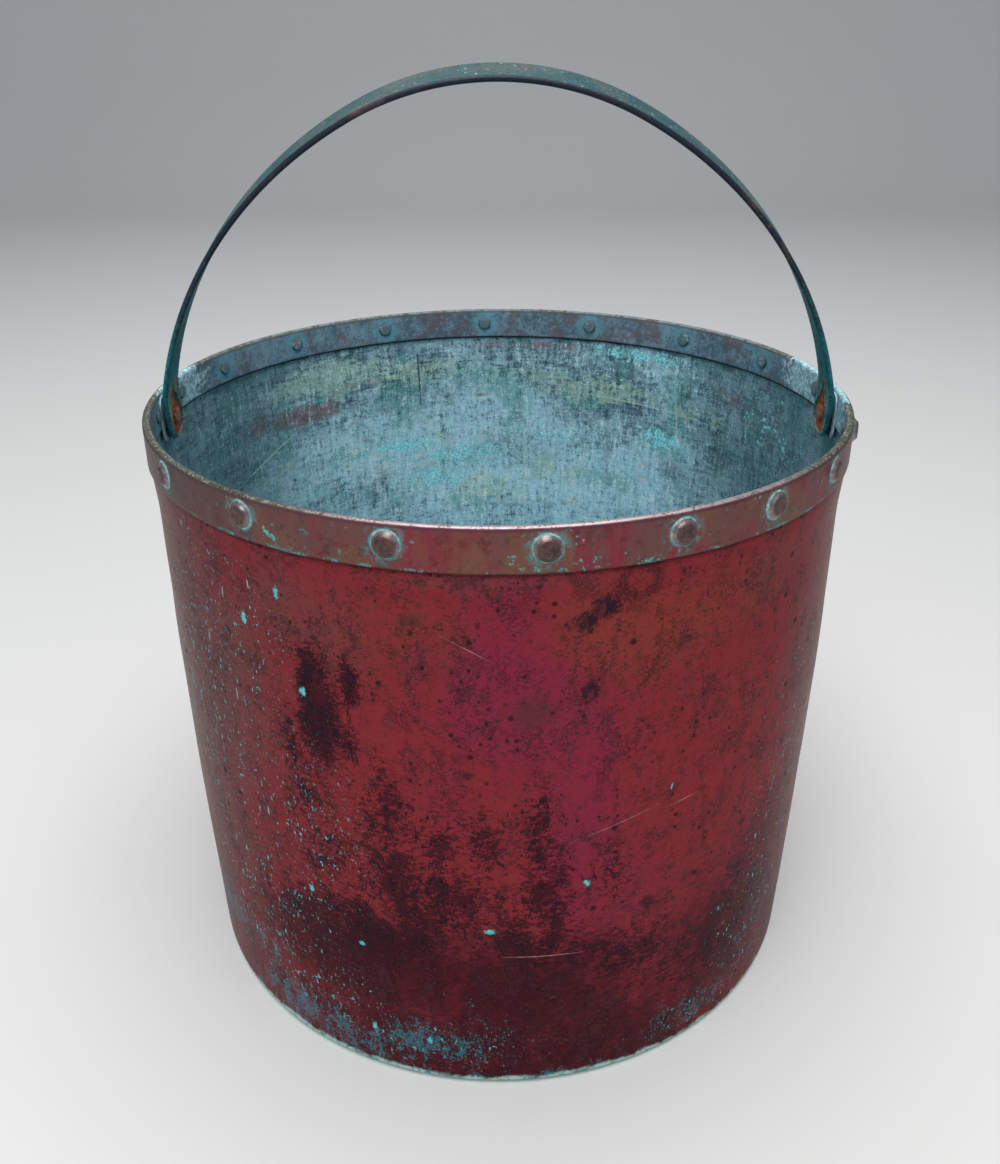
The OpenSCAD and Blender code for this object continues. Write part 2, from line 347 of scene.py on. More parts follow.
def wall_outside(c):
    """Red copper of the outside wall"""
    f = Finish("red_copper_wall")
    z = f.split(f.here)[2]
    zone, flecks_here = f.attribute("outside_zones", "Color", "Alpha")
    magenta_and_sheen, orange, dark = f.split(zone)
    brown, wine, mint = f.split(f.attribute("outside_more", "Color")[0])
    big = f.cloud(0.07, 5, 0.6)
    mid = f.cloud(0.016, 6, 0.66, (1, 1, 0.7), warp=0.5)
    small = f.cloud(0.0045, 5, 0.68, warp=0.4)
    fine = f.cloud(0.0013, 4, 0.68)
    jag = f.cloud(0.0058, 7, 0.76, (1, 1, 0.5), (0.2, 0.4, 0), warp=0.9)
    hatch = f.cloud(0.0032, 5, 0.72, (0.6, 0.6, 1.5), (0.5, 0, 0.2), 0.6)

    f.base = f.mix(c.red, c.brown, (brown + grit(big, 0.8, mid, 0.5)).rise(0.2, 1.0))
    # magenta bloom, plus a painted sheen in a tall narrow strip down the front
    f.lay(c.magenta_and_sheen, (magenta_and_sheen + grit(mid, 1.1, big, 0.5)).rise(0.1, 1.05) * 0.85)
    f.lay(c.orange, (orange + grit(big, 0.8, mid, 0.6)).rise(0.15, 1.0) * 0.85)
    f.lay((0.14, 0.05, 0.03), (big + grit(small, 0.9)).rise(0.54, 0.74) * 0.32)
    f.lay(c.wine, (wine * 1.15 + grit(mid, 1.0, hatch, 0.9)).rise(0.2, 1.0) * 0.9)
    f.lay((0.10, 0.03, 0.04), (jag + grit(mid, 0.9, fine, 0.6) + brown * 0.06).rise(0.53, 0.62) * 0.45)
    veil = (dark * 1.15 + grit(mid, 1.3, hatch, 2.0, fine, 1.2)).rise(0.36, 0.74)
    f.lay(c.wine, veil * 0.82)
    blotch = (dark + grit(jag, 3.8, fine, 1.3)).rise(0.64, 0.8)
    f.lay((0.02, 0.008, 0.018), blotch * 0.85)
    f.darken((small + grit(fine, 0.9, mid, 0.5)).rise(0.49, 0.62), 0.62)
    f.lay((0.05, 0.016, 0.018), (hatch + grit(fine, 0.8, mid, 0.5)).rise(0.6, 0.68) * 0.7)
    # painted glints: light pink specks over the wall
    f.lay((0.36, 0.09, 0.09), (fine + grit(small, 0.6)).rise(0.6, 0.74) * 0.4)

    pits = f.dots(0.0042, 0.5, 0.1, 0.22, (1, 1, 0.8)) * (mid + dark * 0.2).rise(0.4, 0.52)
    specks = f.dots(0.0105, 0.6, 0.07, 0.15, shift=(0.4, 0, 0.1))
    spots = f.dots(0.03, 0.3, 0.05, 0.12, shift=(0.1, 0.3, 0.2)) * (0.4 + fine)
    marks = (pits * 0.8).most(specks * 0.85).most(spots * 0.7)
    f.lay((0.026, 0.011, 0.014), marks)

    ways = f.dots(0.0038, 0.5, 0.08, 0.165, (1, 1, 0.34), 0.1) * (flecks_here + grit(mid, 2.6)).rise(0.5, 0.58)
    chalk = f.dots(0.0050, 0.45, 0.06, 0.13, (1, 1, 0.16), 0.08, (0.3, 0.2, 0))
    chalk = chalk * (brown + grit(mid, 2.0)).rise(0.5, 0.58)
    crumbs = f.cloud(0.0022, 4, 0.8, (1, 1, 0.7), (0.6, 0, 0.1)) + flecks_here * 0.05 + (jag - 0.5) * flecks_here * 0.6
    crumbs = crumbs.rise(0.645, 0.67) * flecks_here.rise(0.1, 0.4)
    rare = f.dots(0.034, 0.25, 0.015, 0.035, (1, 1, 0.4), -0.1, (0.2, 0.1, 0))
    broken = (f.cloud(0.0016, 5, 0.82, shift=(0, 0.2, 0)) - 0.5) * 4.2
    chips = f.patches(CHIPS, 0.25, broken)
    blot = f.cloud(0.009, 6, 0.75, (1, 1, 0.5), (0.1, 0.3, 0), warp=0.6)
    stain = (mint * 1.1 + grit(blot, 2.6, fine, 2.6, small, 1.4)).rise(0.84, 0.94)
    edge = (z + grit(mid, 0.009, small, 0.003) - mint * 0.0036).rise(0.0052, 0.0018)
    green = ways.most(rare).most(crumbs).most(chips).clip()
    f.lay((0.014, 0.16, 0.20), stain * 0.75)
    f.lay(f.mix((0.06, 0.42, 0.46), (0.22, 0.6, 0.62), fine.rise(0.44, 0.6)), green)
    f.lay((0.42, 0.6, 0.6), chalk * 0.75)
    f.lay(f.mix(c.pale, (0.1, 0.32, 0.3), small.rise(0.48, 0.6)), edge * 0.92)

    crust = f.patches(CRUSTS, 0.3, broken) * (0.5 + small.rise(0.4, 0.55) * 0.5)
    rings = f.patches(RINGS, 0.3, broken * 0.6) * (1 - f.patches(RING_MIDDLES, 0.35, broken * 0.5))
    rings = rings * fine.rise(0.36, 0.5)
    f.lay((0.024, 0.012, 0.02), crust.most(rings * 0.85))
    f.lay((0.085, 0.03, 0.03), f.patches(STAINS, 0.7, broken * 0.5) * 0.7)

    scratch = f.patches(SCRATCHES, 0.5, grit(small, 2.4))
    f.lay((0.5, 0.27, 0.24), scratch * 0.6)
    # painted shadow: the wall darkened in a line just under the band
    f.darken(z.rise(0.3222, 0.3256) * 0.85, 0.25)

    rough = 0.34 + grit(big, 0.16, small, 0.16) + green * 0.4 + edge * 0.4 + stain * 0.15
    rough = (rough + marks * 0.25 + blotch * 0.12).clip()
    metal = ((1 - green.most(stain).most(edge)) * 0.6).clip()
    height = mid * 0.14 + small * 0.16 + fine * 0.1 - marks * 0.7 - rings * 0.5 - crust * 0.4
    height = height + green * 0.5 + edge * 0.5 - scratch * 0.3 - blotch * 0.12
    return f.done(rough, metal, height, 0.0004, 0.03, 0.2, 0.16, (0.5, 0.4, 0.4))


CHIPS = [
    ((-0.0053, -0.1951, 0.1176), (0.0029, 0.02, 0.0016), -0.1),
    ((0.0441, -0.1908, 0.1462), (0.0016, 0.02, 0.0020), 0.3),
    ((-0.0743, -0.1797, 0.0950), (0.0016, 0.02, 0.0013), 0),
    ((-0.0393, -0.1882, 0.0314), (0.0014, 0.02, 0.0026), 0),
    ((-0.0707, -0.1788, 0.0326), (0.0012, 0.02, 0.0030), 0),
    ((-0.0950, -0.1730, 0.2500), (0.0016, 0.02, 0.0024), 0.2),
    ((-0.1240, -0.1560, 0.2800), (0.0013, 0.02, 0.0034), 0),
    ((-0.1040, -0.1670, 0.3010), (0.0011, 0.02, 0.0036), 0),
    ((-0.1010, -0.1640, 0.1220), (0.0012, 0.02, 0.0022), 0),
    ((0.0860, -0.1750, 0.1960), (0.0005, 0.02, 0.0018), -0.2),
]
CRUSTS = [
    ((0.0478, -0.1915, 0.3062), (0.0058, 0.02, 0.0056), 0.5),
    ((0.0383, -0.1934, 0.2992), (0.0058, 0.02, 0.0042), 0.2),
    ((0.0418, -0.1927, 0.2622), (0.0036, 0.02, 0.0058), 0.1),
]
RINGS = [((0.0632, -0.1868, 0.3170), (0.0092, 0.02, 0.0092), 0.0)]
RING_MIDDLES = [((0.0632, -0.1868, 0.3170), (0.0066, 0.02, 0.0066), 0.0)]
STAINS = [((0.0155, -0.1966, 0.2529), (0.0085, 0.02, 0.0085), 0.0), ((-0.040, -0.19, 0.300), (0.006, 0.02, 0.003), 0.3)]
SCRATCHES = [
    ((0.0220, -0.1930, 0.0990), (0.0175, 0.03, 0.00034), -0.03),
    ((0.0600, -0.1880, 0.1818), (0.0170, 0.03, 0.00024), 0.28),
    ((0.0925, -0.1730, 0.1850), (0.0060, 0.03, 0.00030), 0.15),
    ((-0.0150, -0.1970, 0.2870), (0.0120, 0.03, 0.00018), -0.5),
]


def wall_inside(c):
    """Blue-green patina inside the pan"""
    f = Finish("blue_green_inside")
    x = f.split(f.here)[0]
    zone, worn = f.attribute("inside_zones", "Color", "Alpha")
    straw, brown, bright = f.split(zone)
    big = f.cloud(0.05, 5, 0.62, warp=0.6)
    mid = f.cloud(0.013, 7, 0.72, (1, 1, 1.3), warp=0.5)
    small = f.cloud(0.0042, 6, 0.74)
    fine = f.cloud(0.0012, 4, 0.7)
    across = f.cloud(0.008, 6, 0.75, (0.5, 0.5, 3.2), (0, 0.3, 0))
    down = f.cloud(0.008, 6, 0.75, (3, 3, 0.5), (0.3, 0, 0))
    sweep = f.cloud(0.006, 6, 0.76, (0.24, 0.24, 2.4), (0.6, 0, 0.3), 0.42)
    grain = grit(small, 0.9, fine, 1.1, across, 1.1, down, 1.0) + (sweep - 0.5) * x.rise(0.03, -0.06) * 1.4
    tone = big * 0.5 + mid * 0.75 + worn * 0.2 + grain * 0.3 - 0.02

    f.base = f.mix((0.045, 0.10, 0.15), c.slate, tone.rise(0.36, 0.52))
    f.lay(c.haze, tone.rise(0.5, 0.74))
    jade = f.cloud(0.034, 6, 0.7, shift=(0.7, 0, 0)) + grain * 0.16
    f.lay((0.09, 0.36, 0.33), jade.rise(0.5, 0.6) * 0.55)
    navy = f.cloud(0.045, 6, 0.72, (1, 1, 1.6), (0.2, 0.7, 0)) + grain * 0.2 - straw * 0.2
    f.lay((0.035, 0.075, 0.14), navy.rise(0.55, 0.66) * 0.6)
    f.lay(c.straw, (straw + grit(mid, 2.4) + grain * 0.9).rise(0.42, 0.72) * (0.35 + small * 0.7))
    f.lay((0.74, 0.93, 0.96), (worn * 0.55 + grit(mid, 2.0) + grain * 1.0).rise(0.55, 0.9) * 0.95)
    f.lay((0.26, 0.13, 0.14), (brown + grit(big, 0.5, mid, 2.0) + grain * 0.5).rise(0.42, 0.8) * 0.75)
    weave = across * 0.5 + down * 0.5 + grit(fine, 0.7, mid, 0.6)
    f.lay((0.04, 0.075, 0.12), weave.rise(0.545, 0.62) * 0.6)
    chalky = grit(small, 0.7, fine, 1.5, down, 1.5, across, 0.8) + worn * 0.1
    f.lay((0.78, 0.97, 0.97), chalky.rise(0.14, 0.34) * 0.75)
    f.darken(chalky.rise(-0.02, -0.24), 0.42)
    f.lay((0.02, 0.03, 0.05), f.dots(0.0065, 0.3, 0.05, 0.16) * small.rise(0.5, 0.6) * 0.85)
    # painted shade: the inside made darker towards its far left and right
    sides = (x * x + grit(mid, 0.012)).rise(0.014, 0.031)
    f.lay((0.035, 0.085, 0.095), sides * 0.55)
    sparks = (f.cloud(0.0052, 6, 0.78, shift=(0.4, 0.2, 0), warp=0.5) + bright * 0.24).rise(0.63, 0.70)
    f.lay(f.mix((0.08, 0.56, 0.66), (0.45, 0.95, 0.97), fine.rise(0.42, 0.58)), sparks * 0.9)
    runs = f.dots(0.016, 0.3, 0.02, 0.07, (1, 1, 0.12), 0, (0.3, 0, 0)) * small.rise(0.4, 0.5)
    f.lay((0.02, 0.06, 0.08), runs * 0.6)
    rubs = f.patches(RUBS, 0.5, grit(small, 2.6))
    f.lay((0.62, 0.7, 0.6), rubs * 0.6)
    stripe = f.patches([((-0.0600, 0.186, 0.3010), (0.0007, 0.03, 0.0190), 0.04)], 0.4, grit(small, 2))
    f.lay((0.02, 0.03, 0.035), stripe * 0.85)

    rough = (0.5 + grit(mid, 0.2) + sparks * 0.2 + grit(small, 0.2)).clip()
    height = mid * 0.3 + small * 0.35 + fine * 0.3 + sparks * 0.5 - runs * 0.2
    return f.done(rough, 0.12, height, 0.00025)


RUBS = [
    ((-0.050, 0.188, 0.2560), (0.0170, 0.03, 0.00050), -0.62),
    ((-0.056, 0.188, 0.2480), (0.0100, 0.03, 0.00040), -0.5),
    ((0.105, 0.160, 0.2840), (0.0500, 0.06, 0.00040), -0.06),
    ((-0.160, 0.105, 0.2650), (0.0200, 0.06, 0.00040), 0.62),
    ((0.020, 0.194, 0.2300), (0.0004, 0.03, 0.03000), 0.03),
    ((0.130, 0.140, 0.2750), (0.0005, 0.06, 0.01500), 0.05),
]


def band_copper(c):
    """Brown band with thin verdigris round its rivets, blue-grey inside"""
    f = Finish("band_copper")
    x, y, z = f.split(f.here)
    (near,) = f.attribute("rivet_distance", "Fac")
    pale, front, lower = f.split(f.attribute("band_zones", "Color")[0])
    r = f.reach(x, y)
    outer = r.rise(0.1966, 0.1976)
    big = f.cloud(0.035, 5, 0.6)
    mid = f.cloud(0.008, 6, 0.68, warp=0.4)
    small = f.cloud(0.003, 5, 0.7)
    fine = f.cloud(0.0012, 3, 0.65)
    down = f.cloud(0.009, 5, 0.65, (1, 1, 0.18), (0.3, 0, 0))

    skin = f.mix(c.brown, (0.21, 0.035, 0.05), (big + grit(down, 0.9)).rise(0.46, 0.64))
    tan = f.cloud(0.05, 4, 0.6, shift=(0.2, 0.5, 0)) + grit(down, 0.6)
    skin = f.mix(skin, (0.17, 0.085, 0.055), tan.rise(0.46, 0.66) * 0.8)
    skin = f.mix((0.10, 0.06, 0.058), skin, (front + grit(mid, 1.0, down, 0.8)).rise(0.1, 0.8))
    skin = f.mix(skin, (0.04, 0.02, 0.02), f.dots(0.006, 0.3, 0.04, 0.13) * 0.8)
    skin = f.shaded(skin, (mid * 0.6 + small * 0.4).rise(0.5, 0.62), 0.66)
    light = (big * 0.5 + mid * 0.5 + grit(small, 0.7, fine, 0.6)).rise(0.36, 0.64)
    lining = f.mix((0.075, 0.13, 0.17), (0.19, 0.31, 0.38), light)
    lining = f.mix(lining, (0.15, 0.10, 0.115), f.cloud(0.02, 6, 0.7, shift=(0.5, 0, 0.4)).rise(0.51, 0.6) * 0.7)
    lining = f.mix(lining, (0.08, 0.42, 0.55), f.cloud(0.009, 6, 0.78, shift=(0.1, 0.4, 0)).rise(0.6, 0.68) * 0.75)
    lining = f.mix(lining, (0.03, 0.06, 0.08), (small + (fine - 0.5)).rise(0.54, 0.68) * 0.5)
    lining = f.mix(lining, (0.34, 0.50, 0.56), (fine + grit(small, 0.9, mid, 0.5)).rise(0.6, 0.74) * 0.5)
    f.base = f.mix(lining, skin, outer)

    halo = near + grit(mid, 0.006, fine, 0.003)
    ring = halo.rise(0.0080, 0.0070)
    haze = halo.rise(0.0135, 0.0075) * (mid + grit(small, 0.8)).rise(0.46, 0.62)
    low = z.rise(0.3282, 0.3258) * (f.cloud(0.016, 5, 0.65, shift=(0.8, 0, 0)) + grit(fine, 0.4)).rise(0.54, 0.6)
    by = (near + grit(big, 0.03, mid, 0.02)).rise(0.034, 0.018)
    nicks = f.dots(0.0058, 0.34, 0.02, 0.1, (0.42, 0.42, 2.6), 0.12) * by
    nicks = nicks.most(f.dots(0.0062, 0.25, 0.03, 0.11, (1, 1, 0.35), 0.2, (0.3, 0, 0)) * by * (1.2 - front))
    blobs = (f.cloud(0.0055, 5, 0.7, shift=(0.6, 0.1, 0)) + by * 0.06 + lower * 0.1).rise(0.68, 0.72)
    green = (ring * outer * 0.9).most(haze * outer * 0.5).most(low * 0.85)
    green = green.most(nicks * outer * 0.9).most(blobs * outer * 0.8)
    splash = (near + grit(mid, 0.012)).rise(0.0125, 0.006) * (1 - outer)
    f.lay((0.13, 0.36, 0.45), splash * (0.35 + small.rise(0.42, 0.58) * 0.5))
    green = green.clip()
    greens = f.mix((0.035, 0.27, 0.25), (0.15, 0.5, 0.46), (fine * 0.5 + mid * 0.5).rise(0.44, 0.58))
    f.lay(greens, green * 0.92)
    patch = (pale * 1.3 + grit(mid, 1.6, small, 0.8)).rise(0.45, 0.75)
    f.lay(f.mix((0.18, 0.34, 0.40), (0.5, 0.66, 0.7), (small + grit(fine, 0.5)).rise(0.46, 0.6)), patch)
    shoulder = (z + grit(small, 0.0008)).rise(0.3452, 0.3464)
    f.lay(f.mix((0.075, 0.075, 0.06), (0.11, 0.028, 0.05), front), shoulder * (1 - patch) * 0.8)
    rim = (z + grit(small, 0.0006)).rise(0.3469, 0.3475)
    # Top of the fold: olive-grey, turning pinkish-white towards the front as a painted highlight
    lip = f.mix((0.10, 0.11, 0.085), (0.46, 0.37, 0.40), front.rise(0.5, 0.9))
    lip = f.mix(lip, (0.03, 0.032, 0.028), (small + grit(fine, 1.2, mid, 0.8)).rise(0.46, 0.36) * 0.7)
    lip = f.mix(lip, (0.34, 0.38, 0.34), (small + grit(fine, 1.2)).rise(0.55, 0.66) * 0.8)
    lip = f.mix(lip, (0.20, 0.30, 0.35), y.rise(0.04, 0.12) * (mid + (small - 0.5)).rise(0.4, 0.52) * 0.75)
    f.lay(lip, rim * (1 - patch) * 0.8)
    # painted shadow along the lower edge of the band's outer face
    f.darken(z.rise(0.3268, 0.3257) * outer * 0.8, 0.3)
    # painted shadow: a near-black line along the lower edge of the inner leg
    seam = z.rise(0.3289, 0.3278) * (1 - outer)
    f.lay((0.006, 0.01, 0.012), seam * 0.95)

    rough = 0.4 + grit(mid, 0.25) + green * 0.35 + patch * 0.3 + shoulder * 0.25
    rough = (rough - rim * front * 0.35 + (1 - outer) * 0.08).clip()
    metal = ((1 - green.most(patch)) * (0.1 + outer * 0.4)).clip()
    height = mid * 0.3 + small * 0.2 + fine * 0.15 + green * 0.4 - nicks * 0.5 + patch * 0.9
    return f.done(rough, metal, height, 0.0003, 0.03, 0.25, 0.25, (0.6, 0.55, 0.55))


def rivet_copper():
    """Hammered heads with a thin rim of verdigris in the angle round them"""
    f = Finish("rivet_copper")
    (rise,) = f.attribute("rise", "Fac")
    (spread,) = f.attribute("spread", "Fac")
    mid = f.cloud(0.0032, 6, 0.7)
    fine = f.cloud(0.0009, 3, 0.65)
    flat = f.mix((0.13, 0.065, 0.058), (0.055, 0.036, 0.033), (mid + grit(fine, 0.5)).rise(0.42, 0.6))
    # the side is lighter than the flat: partly rubbed copper, partly a painted highlight
    side = f.mix((0.27, 0.19, 0.20), (0.13, 0.075, 0.075), (mid + grit(fine, 0.5)).rise(0.4, 0.6))
    out = (spread + grit(mid, 0.0012)).rise(0.0043, 0.0052)
    f.base = f.mix(flat, side, out)
    # painted shade: a dark ring between the flat and the side
    f.lay((0.035, 0.016, 0.018), out * spread.rise(0.0056, 0.0050) * 0.6)
    # pale blue-grey on the side: partly patina, partly a painted highlight
    f.lay((0.22, 0.30, 0.31), out * (mid + grit(fine, 0.4)).rise(0.5, 0.58) * 0.5)
    foot = rise + grit(mid, 0.0012, fine, 0.0005)
    ring = foot.rise(0.0007, 0.0003) * rise.rise(-0.0006, -0.0002)
    ring = ring * (0.25 + (mid + grit(fine, 0.5)).rise(0.58, 0.46) * 0.75)
    f.lay(f.mix((0.06, 0.30, 0.28), (0.34, 0.60, 0.58), (fine + mid * 0.5).rise(0.6, 0.85)), ring * 0.9)
    inside = rise.rise(-0.0035, -0.0046)
    # the tail darkens towards its edge as a painted shadow ring
    tail = f.mix((0.09, 0.15, 0.18), (0.03, 0.05, 0.06), (spread + grit(mid, 0.002)).rise(0.0034, 0.0044))
    tail = f.mix(tail, (0.24, 0.38, 0.42), (mid + grit(fine, 0.6)).rise(0.54, 0.64) * 0.8)
    f.lay(tail, inside)
    rough = (0.46 - out * 0.2 + ring * 0.4 + grit(mid, 0.25) + inside * 0.2).clip()
    height = mid * 0.5 + fine * 0.3 + ring * 0.3
    return f.done(rough, (1 - ring.most(inside)) * 0.65, height, 0.0003)


def plate_patina():
    """Pale blue-green patina of the pivot plates"""
    f = Finish("plate_patina")
    mid = f.cloud(0.006, 5, 0.65)
    fine = f.cloud(0.0012, 3, 0.65)
    f.base = f.mix((0.20, 0.36, 0.42), (0.42, 0.56, 0.60), (mid + grit(fine, 0.5)).rise(0.4, 0.64))
    spots = f.cloud(0.004, 5, 0.7, shift=(0.2, 0.2, 0)) + grit(fine, 0.4)
    f.lay((0.05, 0.08, 0.09), spots.rise(0.58, 0.68) * 0.8)
    f.lay((0.16, 0.06, 0.045), f.cloud(0.007, 4, 0.6, shift=(0.6, 0, 0)).rise(0.6, 0.68) * 0.7)
    _, y, z = f.split(f.here)
    shade = (f.reach(y, z - PIVOT_Z + 0.004) + grit(mid, 0.01)).rise(0.0125, 0.0095)
    shade = shade * z.rise(PIVOT_Z + 0.002, PIVOT_Z - 0.003)
    f.lay((0.008, 0.009, 0.009), shade * 0.95)
    return f.done((0.6 + grit(mid, 0.3)).clip(), 0.1, mid * 0.5 + fine * 0.5, 0.0003)


def sheath_copper(c):
    """Dark teal sheath, brown where hands rub it, bright verdigris down its legs"""
    f = Finish("sheath_copper")
    along, across, face = f.split(f.attribute("strap", "Vector")[0])
    big = f.cloud(0.03, 5, 0.6)
    mid = f.cloud(0.006, 6, 0.7)
    small = f.cloud(0.0025, 5, 0.72)
    fine = f.cloud(0.0011, 3, 0.65)
    leg = along.rise(0.15, 0.05)
    f.base = f.mix(c.teal, (0.03, 0.13, 0.145), (mid + grit(big, 0.6, small, 0.6)).rise(0.42, 0.62))
    brown = (big + along.rise(0.10, 0.26) * 0.12 + grit(mid, 0.5)).rise(0.54, 0.66) * (1 - leg)
    f.lay((0.10, 0.072, 0.056), brown * 0.5)
    wash = (mid + grit(small, 0.9) + leg * 0.22 + grit(big, 0.3)).rise(0.56, 0.7)
    f.lay((0.015, 0.25, 0.28), wash * (0.25 + leg * 0.6))
    f.lay((0.008, 0.03, 0.035), (small + grit(fine, 0.9, mid, 0.6)).rise(0.55, 0.68) * 0.7)
    specks = f.dots(0.0030, 0.45, 0.10, 0.24) * (mid + 0.06).rise(0.44, 0.54)
    f.lay((0.28, 0.52, 0.50), specks * 0.75)
    rim = across.rise(0.85, 0.93)
    f.lay((0.014, 0.014, 0.026), rim * 0.9 * (1 - leg * 0.6))
    # painted glints: maroon streaks along the strap's rounded edges
    f.lay((0.26, 0.12, 0.13), rim * (small + (big - 0.5)).rise(0.58, 0.66) * (1 - leg) * 0.22)
    lip = face * across.rise(0.16, 0.07) * leg
    f.lay((0.3, 0.29, 0.25), lip * mid.rise(0.38, 0.56) * 0.6)
    eye = along.rise(0.040, 0.024) * face
    f.lay((0.34, 0.27, 0.19), eye * (mid + grit(small, 0.5)).rise(0.4, 0.56) * 0.75)
    f.darken((fine + (small - 0.5)).rise(0.5, 0.72), 0.55)
    rough = (0.46 + grit(mid, 0.25) - rim * 0.14 + wash * 0.15 + eye * 0.2).clip()
    height = mid * 0.5 + small * 0.3 + fine * 0.2 + specks * 0.4
    return f.done(rough, 0.05, height, 0.0003, shine=0.16)


def rusty_iron(c, name="rusty_iron", dark=0.0):
    """Scaly rust of the iron parts"""
    f = Finish(name)
    big = f.cloud(0.008, 4, 0.6)
    mid = f.cloud(0.0028, 6, 0.7, warp=0.6)
    fine = f.cloud(0.0007, 3, 0.7)
    f.base = f.mix(c.rust, c.dark_rust, (mid + grit(big, 0.6) + dark).rise(0.44, 0.62))
    f.lay((0.5, 0.17, 0.04), (fine + grit(mid, 0.6)).rise(0.56, 0.7) * 0.7)
    holes = f.dots(0.0024, 0.6, 0.10, 0.3)
    f.lay((0.02, 0.006, 0.004), holes * 0.85)
    rough = (0.82 + grit(mid, 0.2)).clip()
    return f.done(rough, 0.1, mid * 0.8 + fine * 0.4 - holes * 0.8, 0.0005)


def pin_end(c):
    """Hammered pin end, rubbed to a dull beige"""
    f = Finish("rubbed_pin_end")
    (spread,) = f.attribute("spread", "Fac")
    mid = f.cloud(0.0022, 5, 0.7)
    fine = f.cloud(0.0007, 3, 0.7)
    f.base = f.mix(c.rust, c.dark_rust, mid.rise(0.4, 0.62))
    rubbed = (spread + grit(mid, 0.004)).rise(0.0052, 0.0036) * fine.rise(0.35, 0.6)
    f.lay((0.36, 0.27, 0.21), rubbed * 0.5)
    return f.done((0.75 - rubbed * 0.3).clip(), rubbed * 0.4, mid * 0.6 + fine * 0.5, 0.0004)


def plain_floor(s):
    """Matt pale floor"""
    f = Finish("plain_floor")
    f.base = tuple(s.floor)
    return f.done(0.8, 0.0)


# ---- Shapes ----


def wave(place, size, shift=(0, 0, 0)):
    """A smooth random number from -1 to 1 that swings over about the given size"""
    return noise.noise(Vector(place) / size + Vector(shift))


def soft(value, low, high):
    """0 at low, 1 at high and smooth between; low may be the larger"""
    t = min(max((value - low) / (high - low), 0.0), 1.0)
    return t * t * (3 - 2 * t)


def spin(bm, geom, centre, axis, angle, steps, merge=False):
    """Sweeps points and edges round an axis and gives the last copy"""
    return bmesh.ops.spin(
        bm, geom=geom, cent=centre, axis=axis, dvec=(0, 0, 0), angle=angle, steps=steps,
        use_merge=merge, use_normal_flip=False, use_duplicate=False,
    )["geom_last"]


def edges_of(geom):
    """Only the edges of an operation's result"""
    return [e for e in geom if isinstance(e, bmesh.types.BMEdge)]


def draw_out(bm, edges, step):
    """Draws a chain of edges out by one step and gives the new chain"""
    grown = bmesh.ops.extrude_edge_only(bm, edges=edges)["geom"]
    tops = {v for v in grown if isinstance(v, bmesh.types.BMVert)}
    bmesh.ops.translate(bm, verts=list(tops), vec=step)
    return [e for e in edges_of(grown) if tops.issuperset(e.verts)]


def lathe(outline, steps, closed=False):
    """Turns an outline of (radius, height) points about the Z axis"""
    bm = bmesh.new()
    points = [bm.verts.new((r, 0, z)) for r, z in outline]
    edges = [bm.edges.new(pair) for pair in zip(points, points[1:])]
    if closed:
        edges.append(bm.edges.new((points[-1], points[0])))
    spin(bm, points + edges, (0, 0, 0), (0, 0, 1), math.tau, steps, merge=True)
    bmesh.ops.remove_doubles(bm, verts=bm.verts[:], dist=1e-6)
    bmesh.ops.recalc_face_normals(bm, faces=bm.faces[:])
    return bm


def make_piece(name, bm, body, replaced, materials, sharp):
    """Turns a finished bmesh into a piece that rides on its body"""
    mesh = bpy.data.meshes.new(name)
    bm.to_mesh(mesh)
    bm.free()
    for material in materials:
        mesh.materials.append(material)
    mesh.shade_smooth()
    mesh.set_sharp_from_angle(angle=math.radians(sharp))
    piece = bpy.data.objects.new(name, mesh)
    bpy.context.scene.collection.objects.link(piece)
    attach(piece, body)
    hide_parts(*replaced)
    return piece


def put_finish(node, material):
    """Gives a frame node its finish"""
    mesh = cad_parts[node].data
    mesh.materials.clear()
    mesh.materials.append(material)


def store(mesh, name, values, kind="FLOAT"):
    """Keeps a value for every vertex, for the finishes to read"""
    attribute = mesh.attributes.new(name, kind, "POINT")
    field = {"FLOAT": "value", "FLOAT_COLOR": "color", "FLOAT_VECTOR": "vector"}[kind]
    attribute.data.foreach_set(field, np.asarray(values, np.float32).ravel())


def places(mesh):
    """The place of every vertex"""
    co = np.zeros(len(mesh.vertices) * 3, np.float32)
    mesh.vertices.foreach_get("co", co)
    return co.reshape(-1, 3).astype(float)


def angle_of(x, y):
    """Degrees from the front towards the right"""
    return np.degrees(np.arctan2(x, -y))


def zones(angle, z, patches, channels):
    """Lays out soft patches of (channel, angle, height, half angle, half height, strength)"""
    out = np.zeros((len(angle), channels))
    for channel, a, h, wide, tall, strength in patches:
        turn_ = (angle - a + 180) % 360 - 180
        far = np.hypot(turn_ / wide, (z / MM - h) / tall)
        out[:, channel] = np.maximum(out[:, channel], strength * np.exp(-0.7 * far**2.4))
    return out


def chance_patches(seed, count, arc, heights, kinds):
    """The same kinds of patch, scattered over a stretch of the wall"""
    pick = random.Random(seed)
    found = []
    for _ in range(count):
        channel, wide, tall, strength = pick.choice(kinds)
        found.append((
            channel, pick.uniform(*arc), pick.uniform(*heights), wide * pick.uniform(0.6, 1.4),
            tall * pick.uniform(0.6, 1.4), strength * pick.uniform(0.6, 1.0),
        ))
    return found


def spread(patches_by_channel):
    """Puts its channel before each patch"""
    return [(channel, *patch) for channel, patches in patches_by_channel.items() for patch in patches]


